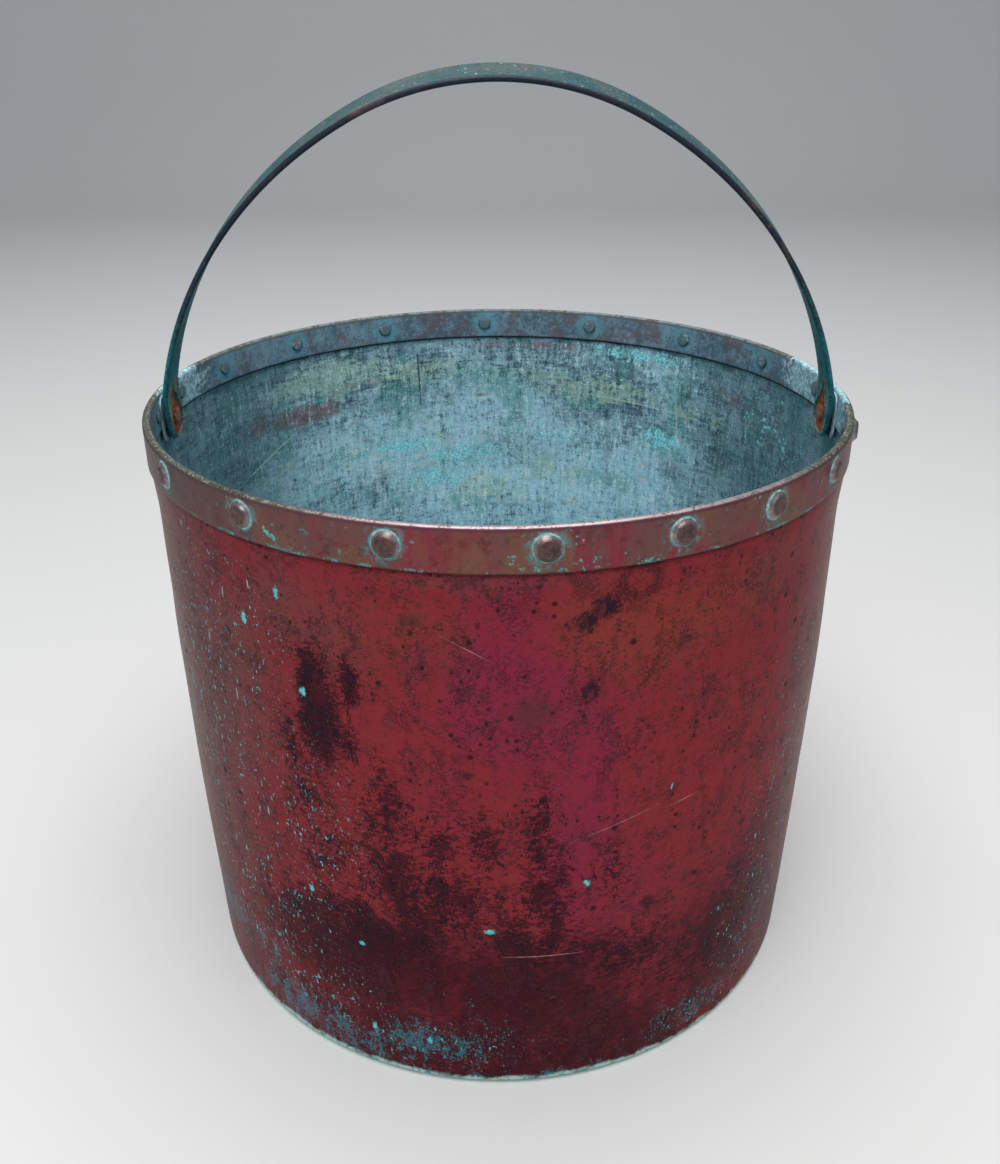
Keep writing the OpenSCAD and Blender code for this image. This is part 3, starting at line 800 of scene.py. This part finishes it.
MAGENTA_AND_SHEEN, ORANGE, DARK, FLECKS, BROWN, WINE, MINT = range(7)
OUTSIDE = spread({
    MAGENTA_AND_SHEEN: [
        # the tall narrow patch at 12 degrees is a painted sheen down the front; the others are magenta bloom
        (3, 265, 12, 55, 0.8), (12, 190, 7, 110, 0.7), (-8, 200, 9, 50, 0.4), (20, 130, 10, 60, 0.45),
        (40, 110, 8, 50, 0.35),
    ],
    ORANGE: [
        (22, 292, 18, 24, 0.8), (12, 306, 7, 12, 0.7), (38, 235, 12, 50, 0.4), (-14, 300, 14, 14, 0.45),
        (-22, 190, 10, 40, 0.35),
    ],
    DARK: [
        (-27, 260, 2.6, 17, 0.95), (-26, 234, 3.4, 24, 1.0), (-21, 260, 1.8, 15, 0.8),
        (-31, 216, 3, 20, 0.6), (-22, 228, 2.4, 18, 0.6), (-30, 188, 4, 30, 0.5), (-27, 150, 7, 40, 0.52),
        (-16, 195, 3, 22, 0.6), (-18, 172, 7, 30, 0.5), (-10, 168, 8, 30, 0.5), (-12, 136, 14, 34, 0.62),
        (-3, 176, 4, 30, 0.5), (-20, 108, 16, 26, 0.6), (6, 176, 2.6, 34, 0.62), (7, 140, 4.5, 34, 0.66),
        (8, 104, 7, 24, 0.6), (16, 148, 5, 22, 0.45), (21, 92, 8, 20, 0.6), (34, 64, 12, 22, 0.5),
        (44, 100, 10, 30, 0.42), (-34, 100, 8, 40, 0.45), (2, 118, 6, 26, 0.5),
    ],
    FLECKS: [
        (-54, 210, 18, 100, 0.75), (-42, 262, 10, 44, 0.7), (-30, 160, 9, 60, 0.72),
        (-46, 90, 16, 50, 0.85), (-34, 45, 14, 30, 0.85), (60, 150, 14, 110, 0.72), (52, 70, 12, 50, 0.8),
        (-15, 30, 20, 18, 0.7), (40, 20, 14, 16, 0.6),
    ],
    BROWN: [
        (-58, 220, 22, 150, 0.95), (-30, 296, 14, 30, 0.55), (62, 230, 14, 130, 0.7),
        (45, 305, 12, 26, 0.5), (5, 320, 30, 6, 0.5), (-48, 60, 14, 60, 0.5),
    ],
    WINE: [
        (4, 20, 50, 62, 0.78), (-20, 84, 24, 40, 0.9), (2, 70, 22, 46, 0.85), (20, 40, 18, 34, 0.6),
        (44, 70, 20, 60, 0.75), (56, 110, 12, 70, 0.6), (-34, 60, 16, 46, 0.45),
    ],
    MINT: [
        (-34, 18, 26, 30, 0.75), (-12, 28, 12, 18, 0.8), (-2, 40, 4, 26, 0.55), (34, 22, 16, 14, 0.6),
        (-48, 40, 12, 50, 0.55), (52, 60, 10, 60, 0.5), (10, 6, 22, 8, 0.6),
    ],
}) + chance_patches(
    3, 60, (75, 285), (10, 310),
    [(MAGENTA_AND_SHEEN, 14, 50, 0.7), (ORANGE, 13, 35, 0.6), (DARK, 6, 40, 0.7), (DARK, 14, 26, 0.6),
     (FLECKS, 16, 70, 0.6), (BROWN, 20, 90, 0.7), (BROWN, 16, 60, 0.6)],
) + chance_patches(
    4, 18, (60, 300), (10, 80),
    [(WINE, 24, 50, 0.9), (WINE, 16, 40, 0.8), (MINT, 20, 26, 0.75), (MINT, 12, 20, 0.7)],
)
STRAW, DULL, BRIGHT, WORN = range(4)
INSIDE = spread({
    STRAW: [
        (-141, 308, 16, 14, 0.9), (-160, 304, 15, 10, 0.75), (157, 291, 14, 13, 0.8),
        (172, 300, 12, 9, 0.6), (-176, 206, 12, 14, 0.7), (168, 222, 12, 16, 0.6), (132, 284, 9, 10, 0.6),
        (-130, 250, 14, 10, 0.45),
    ],
    DULL: [
        (-135, 286, 10, 8, 1.0), (-122, 288, 6, 8, 0.85), (-150, 300, 10, 4, 0.6), (172, 321, 16, 3.5, 0.8),
        (125, 304, 8, 6, 0.8), (-176, 283, 6, 3, 0.6), (-115, 265, 6, 14, 0.6), (155, 276, 5, 4, 0.6),
    ],
    BRIGHT: [
        (-158, 246, 8, 7, 1.0), (-166, 218, 8, 8, 0.85), (-172, 236, 10, 10, 0.8), (142, 260, 7, 8, 0.9),
        (113, 292, 10, 26, 0.35), (148, 320, 12, 5, 0.9), (168, 255, 9, 9, 0.6), (-112, 300, 8, 14, 0.25),
    ],
    WORN: [
        (-152, 242, 22, 26, 1.0), (-176, 210, 22, 22, 1.0), (160, 214, 20, 24, 0.95),
        (146, 236, 14, 22, 0.8), (-132, 232, 16, 14, 0.9), (-175, 262, 26, 20, 0.6), (0, 0, 180, 14, 0.6),
    ],
}) + chance_patches(
    5, 50, (-100, 100), (20, 310),
    [(STRAW, 16, 16, 0.75), (DULL, 10, 8, 0.8), (BRIGHT, 10, 14, 0.8), (WORN, 20, 36, 0.9)],
) + chance_patches(
    6, 26, (90, 270), (15, 195),
    [(STRAW, 16, 18, 0.75), (DULL, 10, 10, 0.8), (BRIGHT, 10, 16, 0.8), (WORN, 22, 40, 0.9)],
)


def wall_radius(s, z):
    """Outside radius of the pan's wall at height z"""
    collar = PAN_BOX[1].x
    middle = collar - s.neck_in
    neck_high = BAND_BOX[0].z - 1 * MM  # the neck ends just under the band
    neck_low = neck_high - s.neck_height
    if z >= neck_high:
        return collar
    if z >= neck_low:
        return middle + s.neck_in * (1 - math.cos(math.pi * (z - neck_low) / s.neck_height)) / 2
    if z >= s.draw_height:
        return middle
    return middle - (middle - s.foot_radius) * ((s.draw_height - z) / (s.draw_height - s.corner)) ** 1.6


DENTS = [
    (-38, 120, 11, 24, 0.9), (24, 70, 12, 26, 0.7), (52, 225, 9, 22, 0.6), (-70, 250, 10, 24, 0.8),
    (118, 150, 12, 30, 1.1), (170, 90, 13, 26, 0.9), (215, 210, 11, 24, 0.8), (262, 70, 10, 22, 1.0),
]


def build_pan(s, c):
    """The pan's outside skin is turned, dented, and given the sheet's thickness"""
    top = PAN_BOX[1].z
    floor_rows, corner_rows, rows = 14, 10, 92
    still_r = 50 * MM  # the floor's middle stays true
    calm_low, calm_high = 50 * MM, (318 * MM, 285 * MM)  # the hand marks fade out past these heights
    flat = s.foot_radius - s.corner
    outline = [(flat * i / floor_rows, 0.0) for i in range(floor_rows + 1)]
    for i in range(1, corner_rows + 1):
        t = math.pi / 2 * i / corner_rows
        outline.append((flat + s.corner * math.sin(t), s.corner * (1 - math.cos(t))))
    for i in range(1, rows + 1):
        z = s.corner + (top - s.corner) * i / rows
        outline.append((wall_radius(s, z), z))
    bm = lathe(outline, s.round_steps)
    for v in bm.verts:
        r = math.hypot(v.co.x, v.co.y)
        if r < still_r:
            continue
        a = math.degrees(math.atan2(v.co.x, -v.co.y))
        out = Vector((v.co.x, v.co.y, 0)) / r
        hold = soft(v.co.z, s.corner * 0.9, calm_low) * soft(v.co.z, *calm_high)
        push = wave(v.co, 0.085, (3.1, 0, 0)) * 0.75 + wave(v.co, 0.033) * 0.25
        for at, height, wide, tall, depth in DENTS:
            far = math.hypot(((a - at + 180) % 360 - 180) / wide, (v.co.z / MM - height) / tall)
            push -= depth * math.exp(-2 * far * far)
        v.co += out * push * s.hand * hold
        if v.co.z < s.corner and r > flat * 0.6:
            v.co.z += s.hand * 0.5 * abs(wave(v.co, 0.04)) * soft(r, flat * 0.6, flat)
    pan = make_piece(
        "copper_pan", bm, "bucket", ["pan"], [wall_outside(c), wall_inside(c)], SHARP_PAN
    )
    co = places(pan.data)
    angle = angle_of(co[:, 0], co[:, 1])
    outside = zones(angle, co[:, 2], OUTSIDE, 8)
    store(pan.data, "outside_zones", outside[:, :4], "FLOAT_COLOR")
    store(pan.data, "outside_more", outside[:, 4:], "FLOAT_COLOR")
    store(pan.data, "inside_zones", zones(angle, co[:, 2], INSIDE, 4), "FLOAT_COLOR")
    skin = pan.modifiers.new("sheet", "SOLIDIFY")
    skin.thickness = s.wall
    skin.offset = -1
    skin.use_even_offset = True
    skin.material_offset = 1
    skin.material_offset_rim = 1


def rivet_angles():
    """Each rivet's angle from the front and its height, as the frame has them"""
    out = []
    for name in RIVETS:
        low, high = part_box(name)
        middle = (low + high) / 2
        out.append((math.atan2(middle.x, -middle.y), middle.z))
    return out


PALE, FRONT_AND_HIGHLIGHT, LOWER = range(3)
BAND_ZONES = [
    (PALE, -97, 338, 11, 30, 0.75), (PALE, 92, 342, 12, 30, 1.0), (PALE, 104, 342, 7, 30, 0.7),
    # the front zone lightens the band's front and places the painted highlight along the top of its fold
    (FRONT_AND_HIGHLIGHT, 10, 335, 44, 60, 1.0), (LOWER, -26, 330, 5, 12, 1.0), (LOWER, 12, 326, 10, 6, 0.8),
]


def build_band(s, c):
    """The band: a folded strip with wandering lower edges; each point keeps its distance from the nearest rivet"""
    out_r, in_r, top, low = BAND_R, LINING_R, BAND_BOX[1].z, BAND_BOX[0].z
    fold = (out_r - in_r) / 2
    mid_r = (out_r + in_r) / 2
    bow_z = top - fold
    inner_low = top - s.inner_drop
    ease = 0.35 * MM  # how far the strip's cut edges are rounded
    skin = 0.4 * MM  # a point this near a face belongs to it
    outer = [(out_r, bow_z + (low + ease - bow_z) * i / 9) for i in range(10)]
    outline = outer + [(out_r - ease * 0.5, low), (out_r - s.sheet + ease * 0.4, low), (out_r - s.sheet, low + ease)]
    outline += [(out_r - s.sheet, low + 8 * MM), (out_r - s.sheet, bow_z)]
    bow = [math.radians(180 * i / 8) for i in range(9)]
    outline += [(mid_r + (fold - s.sheet) * math.cos(t), bow_z + (fold - s.sheet) * math.sin(t)) for t in bow[1:-1]]
    outline += [(in_r + s.sheet, bow_z), (in_r + s.sheet, inner_low + ease)]
    outline += [(in_r + s.sheet - ease * 0.4, inner_low), (in_r + ease * 0.5, inner_low)]
    outline += [(in_r, inner_low + ease + (bow_z - inner_low - ease) * i / 7) for i in range(8)]
    bow = [math.radians(180 - 180 * i / 14) for i in range(15)]
    outline += [(mid_r + fold * math.cos(t), bow_z + fold * math.sin(t)) for t in bow[1:-1]]
    bm = lathe(outline, s.round_steps, closed=True)
    for v in bm.verts:
        r = math.hypot(v.co.x, v.co.y)
        out = Vector((v.co.x, v.co.y, 0)) / r
        ring = out * MEAN_R
        hang = soft(v.co.z, bow_z, inner_low)
        side = 0.0 if r > mid_r else 5.0
        edge = wave(ring, 0.035, (side, 0, 2)) * 0.6 + wave(ring, 0.012, (side, 4, 0)) * 0.4
        v.co.z += s.wander * (edge + 0.35) * 0.7 * hang
        if r > out_r - skin:
            give = 0.16 * MM * abs(wave(v.co, 0.02)) + 0.07 * MM * abs(wave(v.co, 0.007))
            v.co -= out * give
        if r < in_r + skin:
            v.co += out * 0.14 * MM * abs(wave(v.co, 0.016))
        if v.co.z > bow_z:
            v.co.z -= 0.22 * MM * abs(wave(v.co, 0.03)) * (v.co.z - bow_z) / fold
    band = make_piece("rim_strip", bm, "bucket", ["rim_band"], [band_copper(c)], SHARP)
    co = places(band.data)
    near = np.full(len(co), 1.0)
    for a, z in rivet_angles():
        turn_ = (np.arctan2(co[:, 0], -co[:, 1]) - a + math.pi) % math.tau - math.pi
        near = np.minimum(near, np.hypot(turn_ * MEAN_R, co[:, 2] - z))
    store(band.data, "rivet_distance", near)
    angle = angle_of(co[:, 0], co[:, 1])
    on_top = np.clip((TOP_R - np.hypot(co[:, 0], co[:, 1])) / (1.2 * MM), 0, 1)
    kinds = zones(angle, co[:, 2], BAND_ZONES, 4)
    kinds[:, 0] *= on_top
    store(band.data, "band_zones", kinds, "FLOAT_COLOR")


def lathe_across(outline, steps, angle, z, hand):
    """Turns an outline of (radius, distance out from the bucket's middle) about a radius of the rim"""
    bm = lathe(outline, steps)
    rise = bm.verts.layers.float.new("rise")
    spread = bm.verts.layers.float.new("spread")
    outward = Vector((math.sin(angle), -math.cos(angle), 0))
    aside = Vector((math.cos(angle), math.sin(angle), 0))
    for v in bm.verts:
        t, u, far = v.co.x, v.co.y, v.co.z
        v[rise], v[spread] = far - BAND_R, math.hypot(t, u)
        t, u, far = hand(t, u, far)
        v.co = outward * far + aside * t + Vector((0, 0, z + u))
    bmesh.ops.recalc_face_normals(bm, faces=bm.faces[:])
    return bm


def wrapped(t, far):
    """Distance out at which a point at t beside the axis lies on the band's round"""
    return math.sqrt(far * far - t * t)


def build_rivets(s):
    """Each rivet has its own hammered head, crust and tail"""
    copper = rivet_copper()
    for number, (name, (angle, z)) in enumerate(zip(RIVETS, rivet_angles())):
        pick = random.Random(s.seed * 100 + number)
        head = s.head / 2 * pick.uniform(0.94, 1.0)
        flat = s.flat / 2 * pick.uniform(0.88, 1.06)
        top = s.rise * pick.uniform(0.86, 1.0)
        tail = s.tail / 2 * pick.uniform(0.97, 1.03)
        crust = s.crust * pick.uniform(0.5, 1.0)
        seat = math.sqrt(LINING_R**2 - tail**2)
        far = [
            (0, top), (flat * 0.45, top), (flat * 0.8, top - 0.03 * MM), (flat * 0.94, top - 0.12 * MM),
            (flat * 1.03, top - 0.34 * MM), (flat + (head - flat) * 0.4, top * 0.62),
            (flat + (head - flat) * 0.75, top * 0.36), (head, 0.66 * MM), (head + crust * 0.25, 0.42 * MM),
            (head + crust * 0.6, 0.26 * MM), (head + crust, 0.05 * MM), (head + crust * 1.1, -0.25 * MM),
            (s.shank / 2, -0.25 * MM),
        ]
        outline = [(r, BAND_R + h) for r, h in far]
        outline += [
            (s.shank / 2, seat), (tail * 0.97, seat), (tail, seat - 0.3 * MM), (tail * 0.98, seat - s.tail_rise * 0.6),
            (tail * 0.88, seat - s.tail_rise * 0.93), (tail * 0.6, seat - s.tail_rise), (0, seat - s.tail_rise),
        ]
        tilt = (pick.uniform(-0.03, 0.03), pick.uniform(-0.03, 0.03))
        slide = (pick.uniform(-0.2, 0.2) * MM, pick.uniform(-0.2, 0.2) * MM)
        salt = Vector((number * 3.7, 0, 0))

        def hand(t, u, out):
            up = out - BAND_R
            r = math.hypot(t, u)
            if up > 0.3 * MM:
                grow = 1 + 0.03 * wave((t, u, out), 4 * MM, salt)
                t, u = t * grow + slide[0], u * grow + slide[1]
                lift = soft(up, 0.6 * MM, 2.2 * MM)
                out += (tilt[0] * t + tilt[1] * u) * lift - 0.09 * MM * abs(wave((t, u, 0), 2.4 * MM, salt)) * lift
                return t, u, min(out, BAND_R + 2.98 * MM)
            if up > -0.3 * MM and r > s.shank / 2 + 1e-5:
                crumb = wave((t, u, 0), 1.6 * MM, salt)
                grow = 1 + 0.05 * crumb
                return t * grow, u * grow, wrapped(t * grow, out + max(0.0, up) * 0.8 * crumb)
            if out < seat:
                out += 0.12 * MM * abs(wave((t, u, 5), 2.5 * MM, salt))
            return t, u, out

        bm = lathe_across(outline, 44, angle, z, hand)
        make_piece(f"copper_{name}", bm, "bucket", [name], [copper], SHARP)


def build_pins(c):
    """The iron pins that the bail turns on"""
    end = PIN_BOX[0].x
    metal = pin_end(c)
    for side, name in ((1, "pivot_pin_right"), (-1, "pivot_pin_left")):
        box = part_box(name)
        r = (box[1].z - box[0].z) / 2
        top = PIN_BOX[1].x - BAND_R
        far = [
            (0, top), (r * 0.55, top), (r * 0.76, top - 0.15 * MM), (r * 0.86, top * 0.72), (r * 0.95, top * 0.4),
            (r * 0.99, 0.2 * MM), (r * 0.99, -0.3 * MM), (PIN_SHANK, -0.3 * MM),
        ]
        outline = [(a, BAND_R + b) for a, b in far] + [
            (PIN_SHANK, end + 1.9 * MM), (5.3 * MM, end + 1.9 * MM), (5.2 * MM, end + 1.4 * MM),
            (4.7 * MM, end + 0.7 * MM), (4.2 * MM, end + 0.25 * MM), (3.2 * MM, end + 0.05 * MM),
            (1.6 * MM, end), (0, end),
        ]
        salt = Vector((side * 5.5, 1, 0))

        def hand(t, u, out):
            grow = 1 + 0.05 * wave((t, u, out), 3 * MM, salt)
            if out > BAND_R + 0.5 * MM:
                return t * min(grow, 1), u * min(grow, 1), out - 0.2 * MM * abs(wave((t, u, 0), 2.5 * MM, salt))
            if out < end + 1.5 * MM:
                return t * min(grow, 1), u * min(grow, 1), out + 0.3 * MM * abs(wave((t, u, 0), 2.2 * MM, salt))
            return t, u, out

        bm = lathe_across(outline, 40, side * math.pi / 2, PIVOT_Z, hand)
        make_piece(f"iron_{name}", bm, "bucket", [name], [metal], SHARP)


def bail_line(s):
    """Centres and radii of the bail's arcs in its own plane, x sideways and u up from the pivots"""
    foot_x = SHEATH_BOX[1].x - s.thick / 2
    high = SHEATH_BOX[1].z - PIVOT_Z
    crown = (high - s.thick / 2 - (s.width - s.thick) / 2 * math.sin(s.lean)) / math.cos(s.lean)
    bend = (foot_x - s.bend_radius, s.foot)
    bx = foot_x - s.bend_radius * (1 - math.cos(s.leg_lean))
    bu = s.foot + s.bend_radius * math.sin(s.leg_lean)
    lc = math.cos(s.leg_lean) - math.cos(s.shoulder)
    ls = math.sin(s.shoulder) - math.sin(s.leg_lean)
    cc, cs = math.cos(s.shoulder), 1 - math.sin(s.shoulder)
    leg_r = (bx * cs - cc * (crown - bu)) / (lc * cs - cc * ls)
    crown_r = (lc * (crown - bu) - ls * bx) / (lc * cs - cc * ls)
    crown_at = (0.0, crown - crown_r)
    leg_at = (crown_at[0] + (crown_r - leg_r) * cc, crown_at[1] + (crown_r - leg_r) * math.sin(s.shoulder))
    return foot_x, bend, (leg_at, leg_r), (crown_at, crown_r)


def eye_gap(s, u):
    """Half the gap between the sheath's edges at height u above a pivot"""
    seam, eye = s.seam / 2, s.eye_width / 2
    t = min(max(u / s.eye_height, 0.0), 1.0)
    return seam + (eye - seam) * (1 - t) * (1 - 0.3 * t)


def half_round(parts):
    """Angles of the points between the ends of a half circle"""
    return [math.pi * i / parts for i in range(1, parts)]


def build_sheath(s, c):
    """The sheath's section is swept up one leg and half the crown, closed round the foot and mirrored"""
    foot_x, bend, (leg_at, leg_r), (crown_at, crown_r) = bail_line(s)
    half_t, void_t = s.thick / 2, s.thick / 2 - s.sheet
    corner = s.width / 2 - half_t
    bm = bmesh.new()
    share = bm.verts.layers.float.new("share")
    shell = bm.verts.layers.float.new("shell")

    def section(side):
        """Half of the section, from the middle of the outer face round to the edge at the seam and back"""
        eye = eye_gap(s, 0)
        points = [(half_t, corner * i / 6, -1) for i in range(7)]
        points += [(half_t * math.cos(t), corner + half_t * math.sin(t), -1) for t in half_round(10)]
        points += [(-half_t, None, 1 - i / 5) for i in range(5)] + [(-half_t + 0.15 * MM, None, 0.0)]
        points += [(-void_t - 0.15 * MM, None, 0.0)] + [(-void_t, None, i / 4) for i in range(5)]
        points += [(-void_t * math.cos(t), corner + void_t * math.sin(t), -1) for t in half_round(6)]
        points += [(void_t, corner * (1 - i / 3), -1) for i in range(4)]
        verts = []
        for n, y, q in points:
            if y is None:
                y = eye + (corner - eye) * q
            v = bm.verts.new((foot_x + n, side * y, 0))
            v[share] = q
            v[shell] = 1.0 if abs(n) > void_t + 1e-6 or y > corner + void_t else 0.0
            verts.append(v)
        return verts

    near, far = section(1), section(-1)
    edges = []
    for chain in (near, far):
        edges += [bm.edges.new(pair) for pair in zip(chain, chain[1:])]
    spin(bm, near + edges[: len(near) - 1], (0, 0, 0), (1, 0, 0), -math.pi, 22)
    last = edges
    for _ in range(4):
        last = draw_out(bm, last, (0, 0, s.foot / 4))
    arcs = [
        ((bend[0], bend[1]), s.leg_lean, 8),
        (leg_at, s.shoulder - s.leg_lean, 60),
        (crown_at, math.pi / 2 - s.shoulder, 60),
    ]
    for centre, angle, steps in arcs:
        ends = list(dict.fromkeys(v for e in last for v in e.verts))
        last = edges_of(spin(bm, ends + last, (centre[0], 0, centre[1]), (0, -1, 0), angle, steps))
    bmesh.ops.remove_doubles(bm, verts=bm.verts[:], dist=5e-6)

    strap = bm.verts.layers.float_vector.new("strap")
    total = crown_r * (math.pi / 2 - s.shoulder) + leg_r * (s.shoulder - s.leg_lean)
    total += s.bend_radius * s.leg_lean + s.foot
    for v in bm.verts:
        u, y = v.co.z, v.co.y
        q = v[share]
        if u > 1e-6 and q >= 0 and abs(y) > 1e-6:
            gap = eye_gap(s, u)
            gap += 0.22 * MM * wave((u, math.copysign(18 * MM, y), 0), 9 * MM) * soft(u, 4 * MM, 16 * MM)
            v.co.y = math.copysign(gap + (corner - gap) * q, y)
            if v[shell]:
                lift = (1 - q) ** 2 * 0.25 * MM * soft(u, 30 * MM, 4 * MM)
                v.co.x -= lift
        along = min(max(u, 0.0) * 1.25, total)
        v[strap] = (along, abs(v.co.y) / (s.width / 2), 1.0 if q >= 0 else 0.0)
    for v in bm.verts:
        if not v[shell] or abs(v.co.x) < 1e-6:
            continue
        worn = 0.28 * MM * abs(wave(v.co, 0.03, (0, 7, 0)) * 0.5 + wave(v.co, 0.009) * 0.35)
        if abs(v.co.y) > corner:
            v.co.y -= math.copysign(worn, v.co.y)
    for v in bm.verts:
        if abs(v.co.x) < 2e-5:
            v.co.x = 0
    whole = bm.verts[:] + bm.edges[:] + bm.faces[:]
    bmesh.ops.mirror(
        bm, geom=whole, matrix=Matrix.Identity(4), merge_dist=2e-5, axis="X", mirror_u=False, mirror_v=False
    )
    bmesh.ops.remove_doubles(bm, verts=bm.verts[:], dist=5e-6)
    bmesh.ops.recalc_face_normals(bm, faces=bm.faces[:])
    bmesh.ops.rotate(bm, verts=bm.verts[:], cent=(0, 0, 0), matrix=Matrix.Rotation(s.lean, 3, "X"))
    bmesh.ops.translate(bm, verts=bm.verts[:], vec=(0, 0, PIVOT_Z))
    return make_piece("sheath_strip", bm, "bail", ["bail_sheath"], [sheath_copper(c)], SHARP)


# ---- Stage ----


def aim_camera(s, scene):
    """Puts the camera at its place, tilted down and very slightly over"""
    data = bpy.data.cameras.new("camera")
    data.lens, data.sensor_width, data.shift_y = s.lens, 36, s.shift
    data.clip_end = 100
    camera = bpy.data.objects.new("camera", data)
    tilt = Matrix.Rotation(math.pi / 2 - s.pitch, 4, "X") @ Matrix.Rotation(s.roll, 4, "Z")
    camera.matrix_world = Matrix.Translation(s.place) @ tilt
    scene.collection.objects.link(camera)
    scene.camera = camera


def sweep_floor(s, scene):
    """A floor that rises behind the bucket through a quarter round"""
    half, run, bend, rise, parts = 9, 12, 1.2, 5, 10
    angles = [math.radians(90 * i / parts) for i in range(parts + 1)]
    round_ = [
        (0, bend * (math.sin(b) - math.sin(a)), bend * (math.cos(a) - math.cos(b)))
        for a, b in zip(angles, angles[1:])
    ]
    bm = bmesh.new()
    chain = [bm.edges.new([bm.verts.new((x, -half, 0)) for x in (-half, half)])]
    for step in [(0, run, 0)] + round_ + [(0, 0, rise)]:
        chain = draw_out(bm, chain, step)
    bmesh.ops.recalc_face_normals(bm, faces=bm.faces[:])
    mesh = bpy.data.meshes.new("floor")
    bm.to_mesh(mesh)
    bm.free()
    mesh.materials.append(plain_floor(s))
    mesh.shade_smooth()
    floor = bpy.data.objects.new("floor", mesh)
    scene.collection.objects.link(floor)


# Each lamp's place, what it points at, width in metres, watts and colour
LAMPS = {
    "over": ((0.0, -0.1, 2.4), (0.0, 0.0, 0.2), 2.0, 50, (1.0, 0.985, 0.96)),
    "front": ((-0.2, -1.5, 2.4), (0, 0, 0.25), 1.3, 30, (1.0, 0.98, 0.96)),
    "left": ((-1.7, -1.8, 1.4), (0, 0, 0.2), 1.6, 8, (0.88, 0.94, 1.0)),
    "right": ((1.5, -2.0, 1.5), (0, 0, 0.2), 1.5, 5, (1.0, 0.97, 0.95)),
    "behind": ((-0.3, 2.6, 2.2), (0, 0, 0.3), 2.0, 6, (0.92, 0.96, 1.0)),
}
ROOM_COLOUR, ROOM_STRENGTH = (0.80, 0.88, 1.0, 1), 0.36


def light_room(scene):
    """Soft lamps, and a faint cool light from all sides"""
    world = bpy.data.worlds.new("room")
    world.use_nodes = True
    sky = world.node_tree.nodes["Background"].inputs
    sky["Color"].default_value, sky["Strength"].default_value = ROOM_COLOUR, ROOM_STRENGTH
    scene.world = world
    for name, (place, aim, size, power, tint) in LAMPS.items():
        light = bpy.data.lights.new(name, "AREA")
        light.size, light.energy, light.color = size, power, tint
        lamp = bpy.data.objects.new(name, light)
        lamp.location = place
        lamp.rotation_euler = (Vector(aim) - Vector(place)).to_track_quat("-Z", "Y").to_euler()
        scene.collection.objects.link(lamp)


# ---- Operators ----


class MakeStage(bpy.types.Operator):
    """Sets up the camera, the plain floor and the soft light"""

    bl_idname = "copper_bucket.make_stage"
    bl_label = "Stage"

    def execute(self, context):
        s, scene = context.scene.bucket_stage, context.scene
        aim_camera(s, scene)
        sweep_floor(s, scene)
        light_room(scene)
        scene.view_settings.view_transform = "Standard"
        return {"FINISHED"}


class MakePan(bpy.types.Operator):
    """Makes the raised pan with its two patinas"""

    bl_idname = "copper_bucket.make_pan"
    bl_label = "Pan"

    def execute(self, context):
        build_pan(context.scene.bucket_pan, context.scene.bucket_colours)
        return {"FINISHED"}


class MakeBand(bpy.types.Operator):
    """Makes the strip folded over the rim"""

    bl_idname = "copper_bucket.make_band"
    bl_label = "Rim band"

    def execute(self, context):
        build_band(context.scene.bucket_band, context.scene.bucket_colours)
        return {"FINISHED"}


class MakeRivets(bpy.types.Operator):
    """Makes the rivets round the rim"""

    bl_idname = "copper_bucket.make_rivets"
    bl_label = "Rivets"

    def execute(self, context):
        build_rivets(context.scene.bucket_rivets)
        return {"FINISHED"}


class MakePivots(bpy.types.Operator):
    """Makes the pins and finishes the plates and washers"""

    bl_idname = "copper_bucket.make_pivots"
    bl_label = "Pivots"

    def execute(self, context):
        colours = context.scene.bucket_colours
        build_pins(colours)
        plate, iron = plate_patina(), rusty_iron(colours, "rusty_washer", 0.05)
        for side in ("left", "right"):
            put_finish("pivot_plate_" + side, plate)
            put_finish("pivot_washer_" + side, iron)
        return {"FINISHED"}


class MakeBail(bpy.types.Operator):
    """Makes the bail's copper sheath and finishes its iron core"""

    bl_idname = "copper_bucket.make_bail"
    bl_label = "Bail"

    def execute(self, context):
        colours = context.scene.bucket_colours
        build_sheath(context.scene.bucket_bail, colours)
        put_finish("bail_core", rusty_iron(colours, "rusty_core"))
        return {"FINISHED"}


class BucketPanel(bpy.types.Panel):
    """The bucket's pieces in the sidebar"""

    bl_idname = "VIEW3D_PT_copper_bucket"
    bl_label = "Copper Bucket"
    bl_space_type = "VIEW_3D"
    bl_region_type = "UI"
    bl_category = "Bucket"

    def draw(self, context):
        for operator in OPERATORS:
            self.layout.operator(operator.bl_idname, text=operator.bl_label)


GROUPS = {
    "bucket_stage": StageSizes,
    "bucket_colours": CopperColours,
    "bucket_pan": PanSizes,
    "bucket_band": BandSizes,
    "bucket_rivets": RivetSizes,
    "bucket_bail": BailSizes,
}
OPERATORS = (MakeStage, MakePan, MakeBand, MakeRivets, MakePivots, MakeBail)


def register():
    for cls in (*GROUPS.values(), *OPERATORS, BucketPanel):
        bpy.utils.register_class(cls)
    for name, group in GROUPS.items():
        setattr(bpy.types.Scene, name, PointerProperty(type=group))


def unregister():
    for name in GROUPS:
        delattr(bpy.types.Scene, name)
    for cls in reversed((*GROUPS.values(), *OPERATORS, BucketPanel)):
        bpy.utils.unregister_class(cls)


def main():
    register()
    bpy.ops.copper_bucket.make_stage()
    bpy.ops.copper_bucket.make_pan()
    bpy.ops.copper_bucket.make_band()
    bpy.ops.copper_bucket.make_rivets()
    bpy.ops.copper_bucket.make_pivots()
    bpy.ops.copper_bucket.make_bail()


if __name__ == "__main__":
    main()
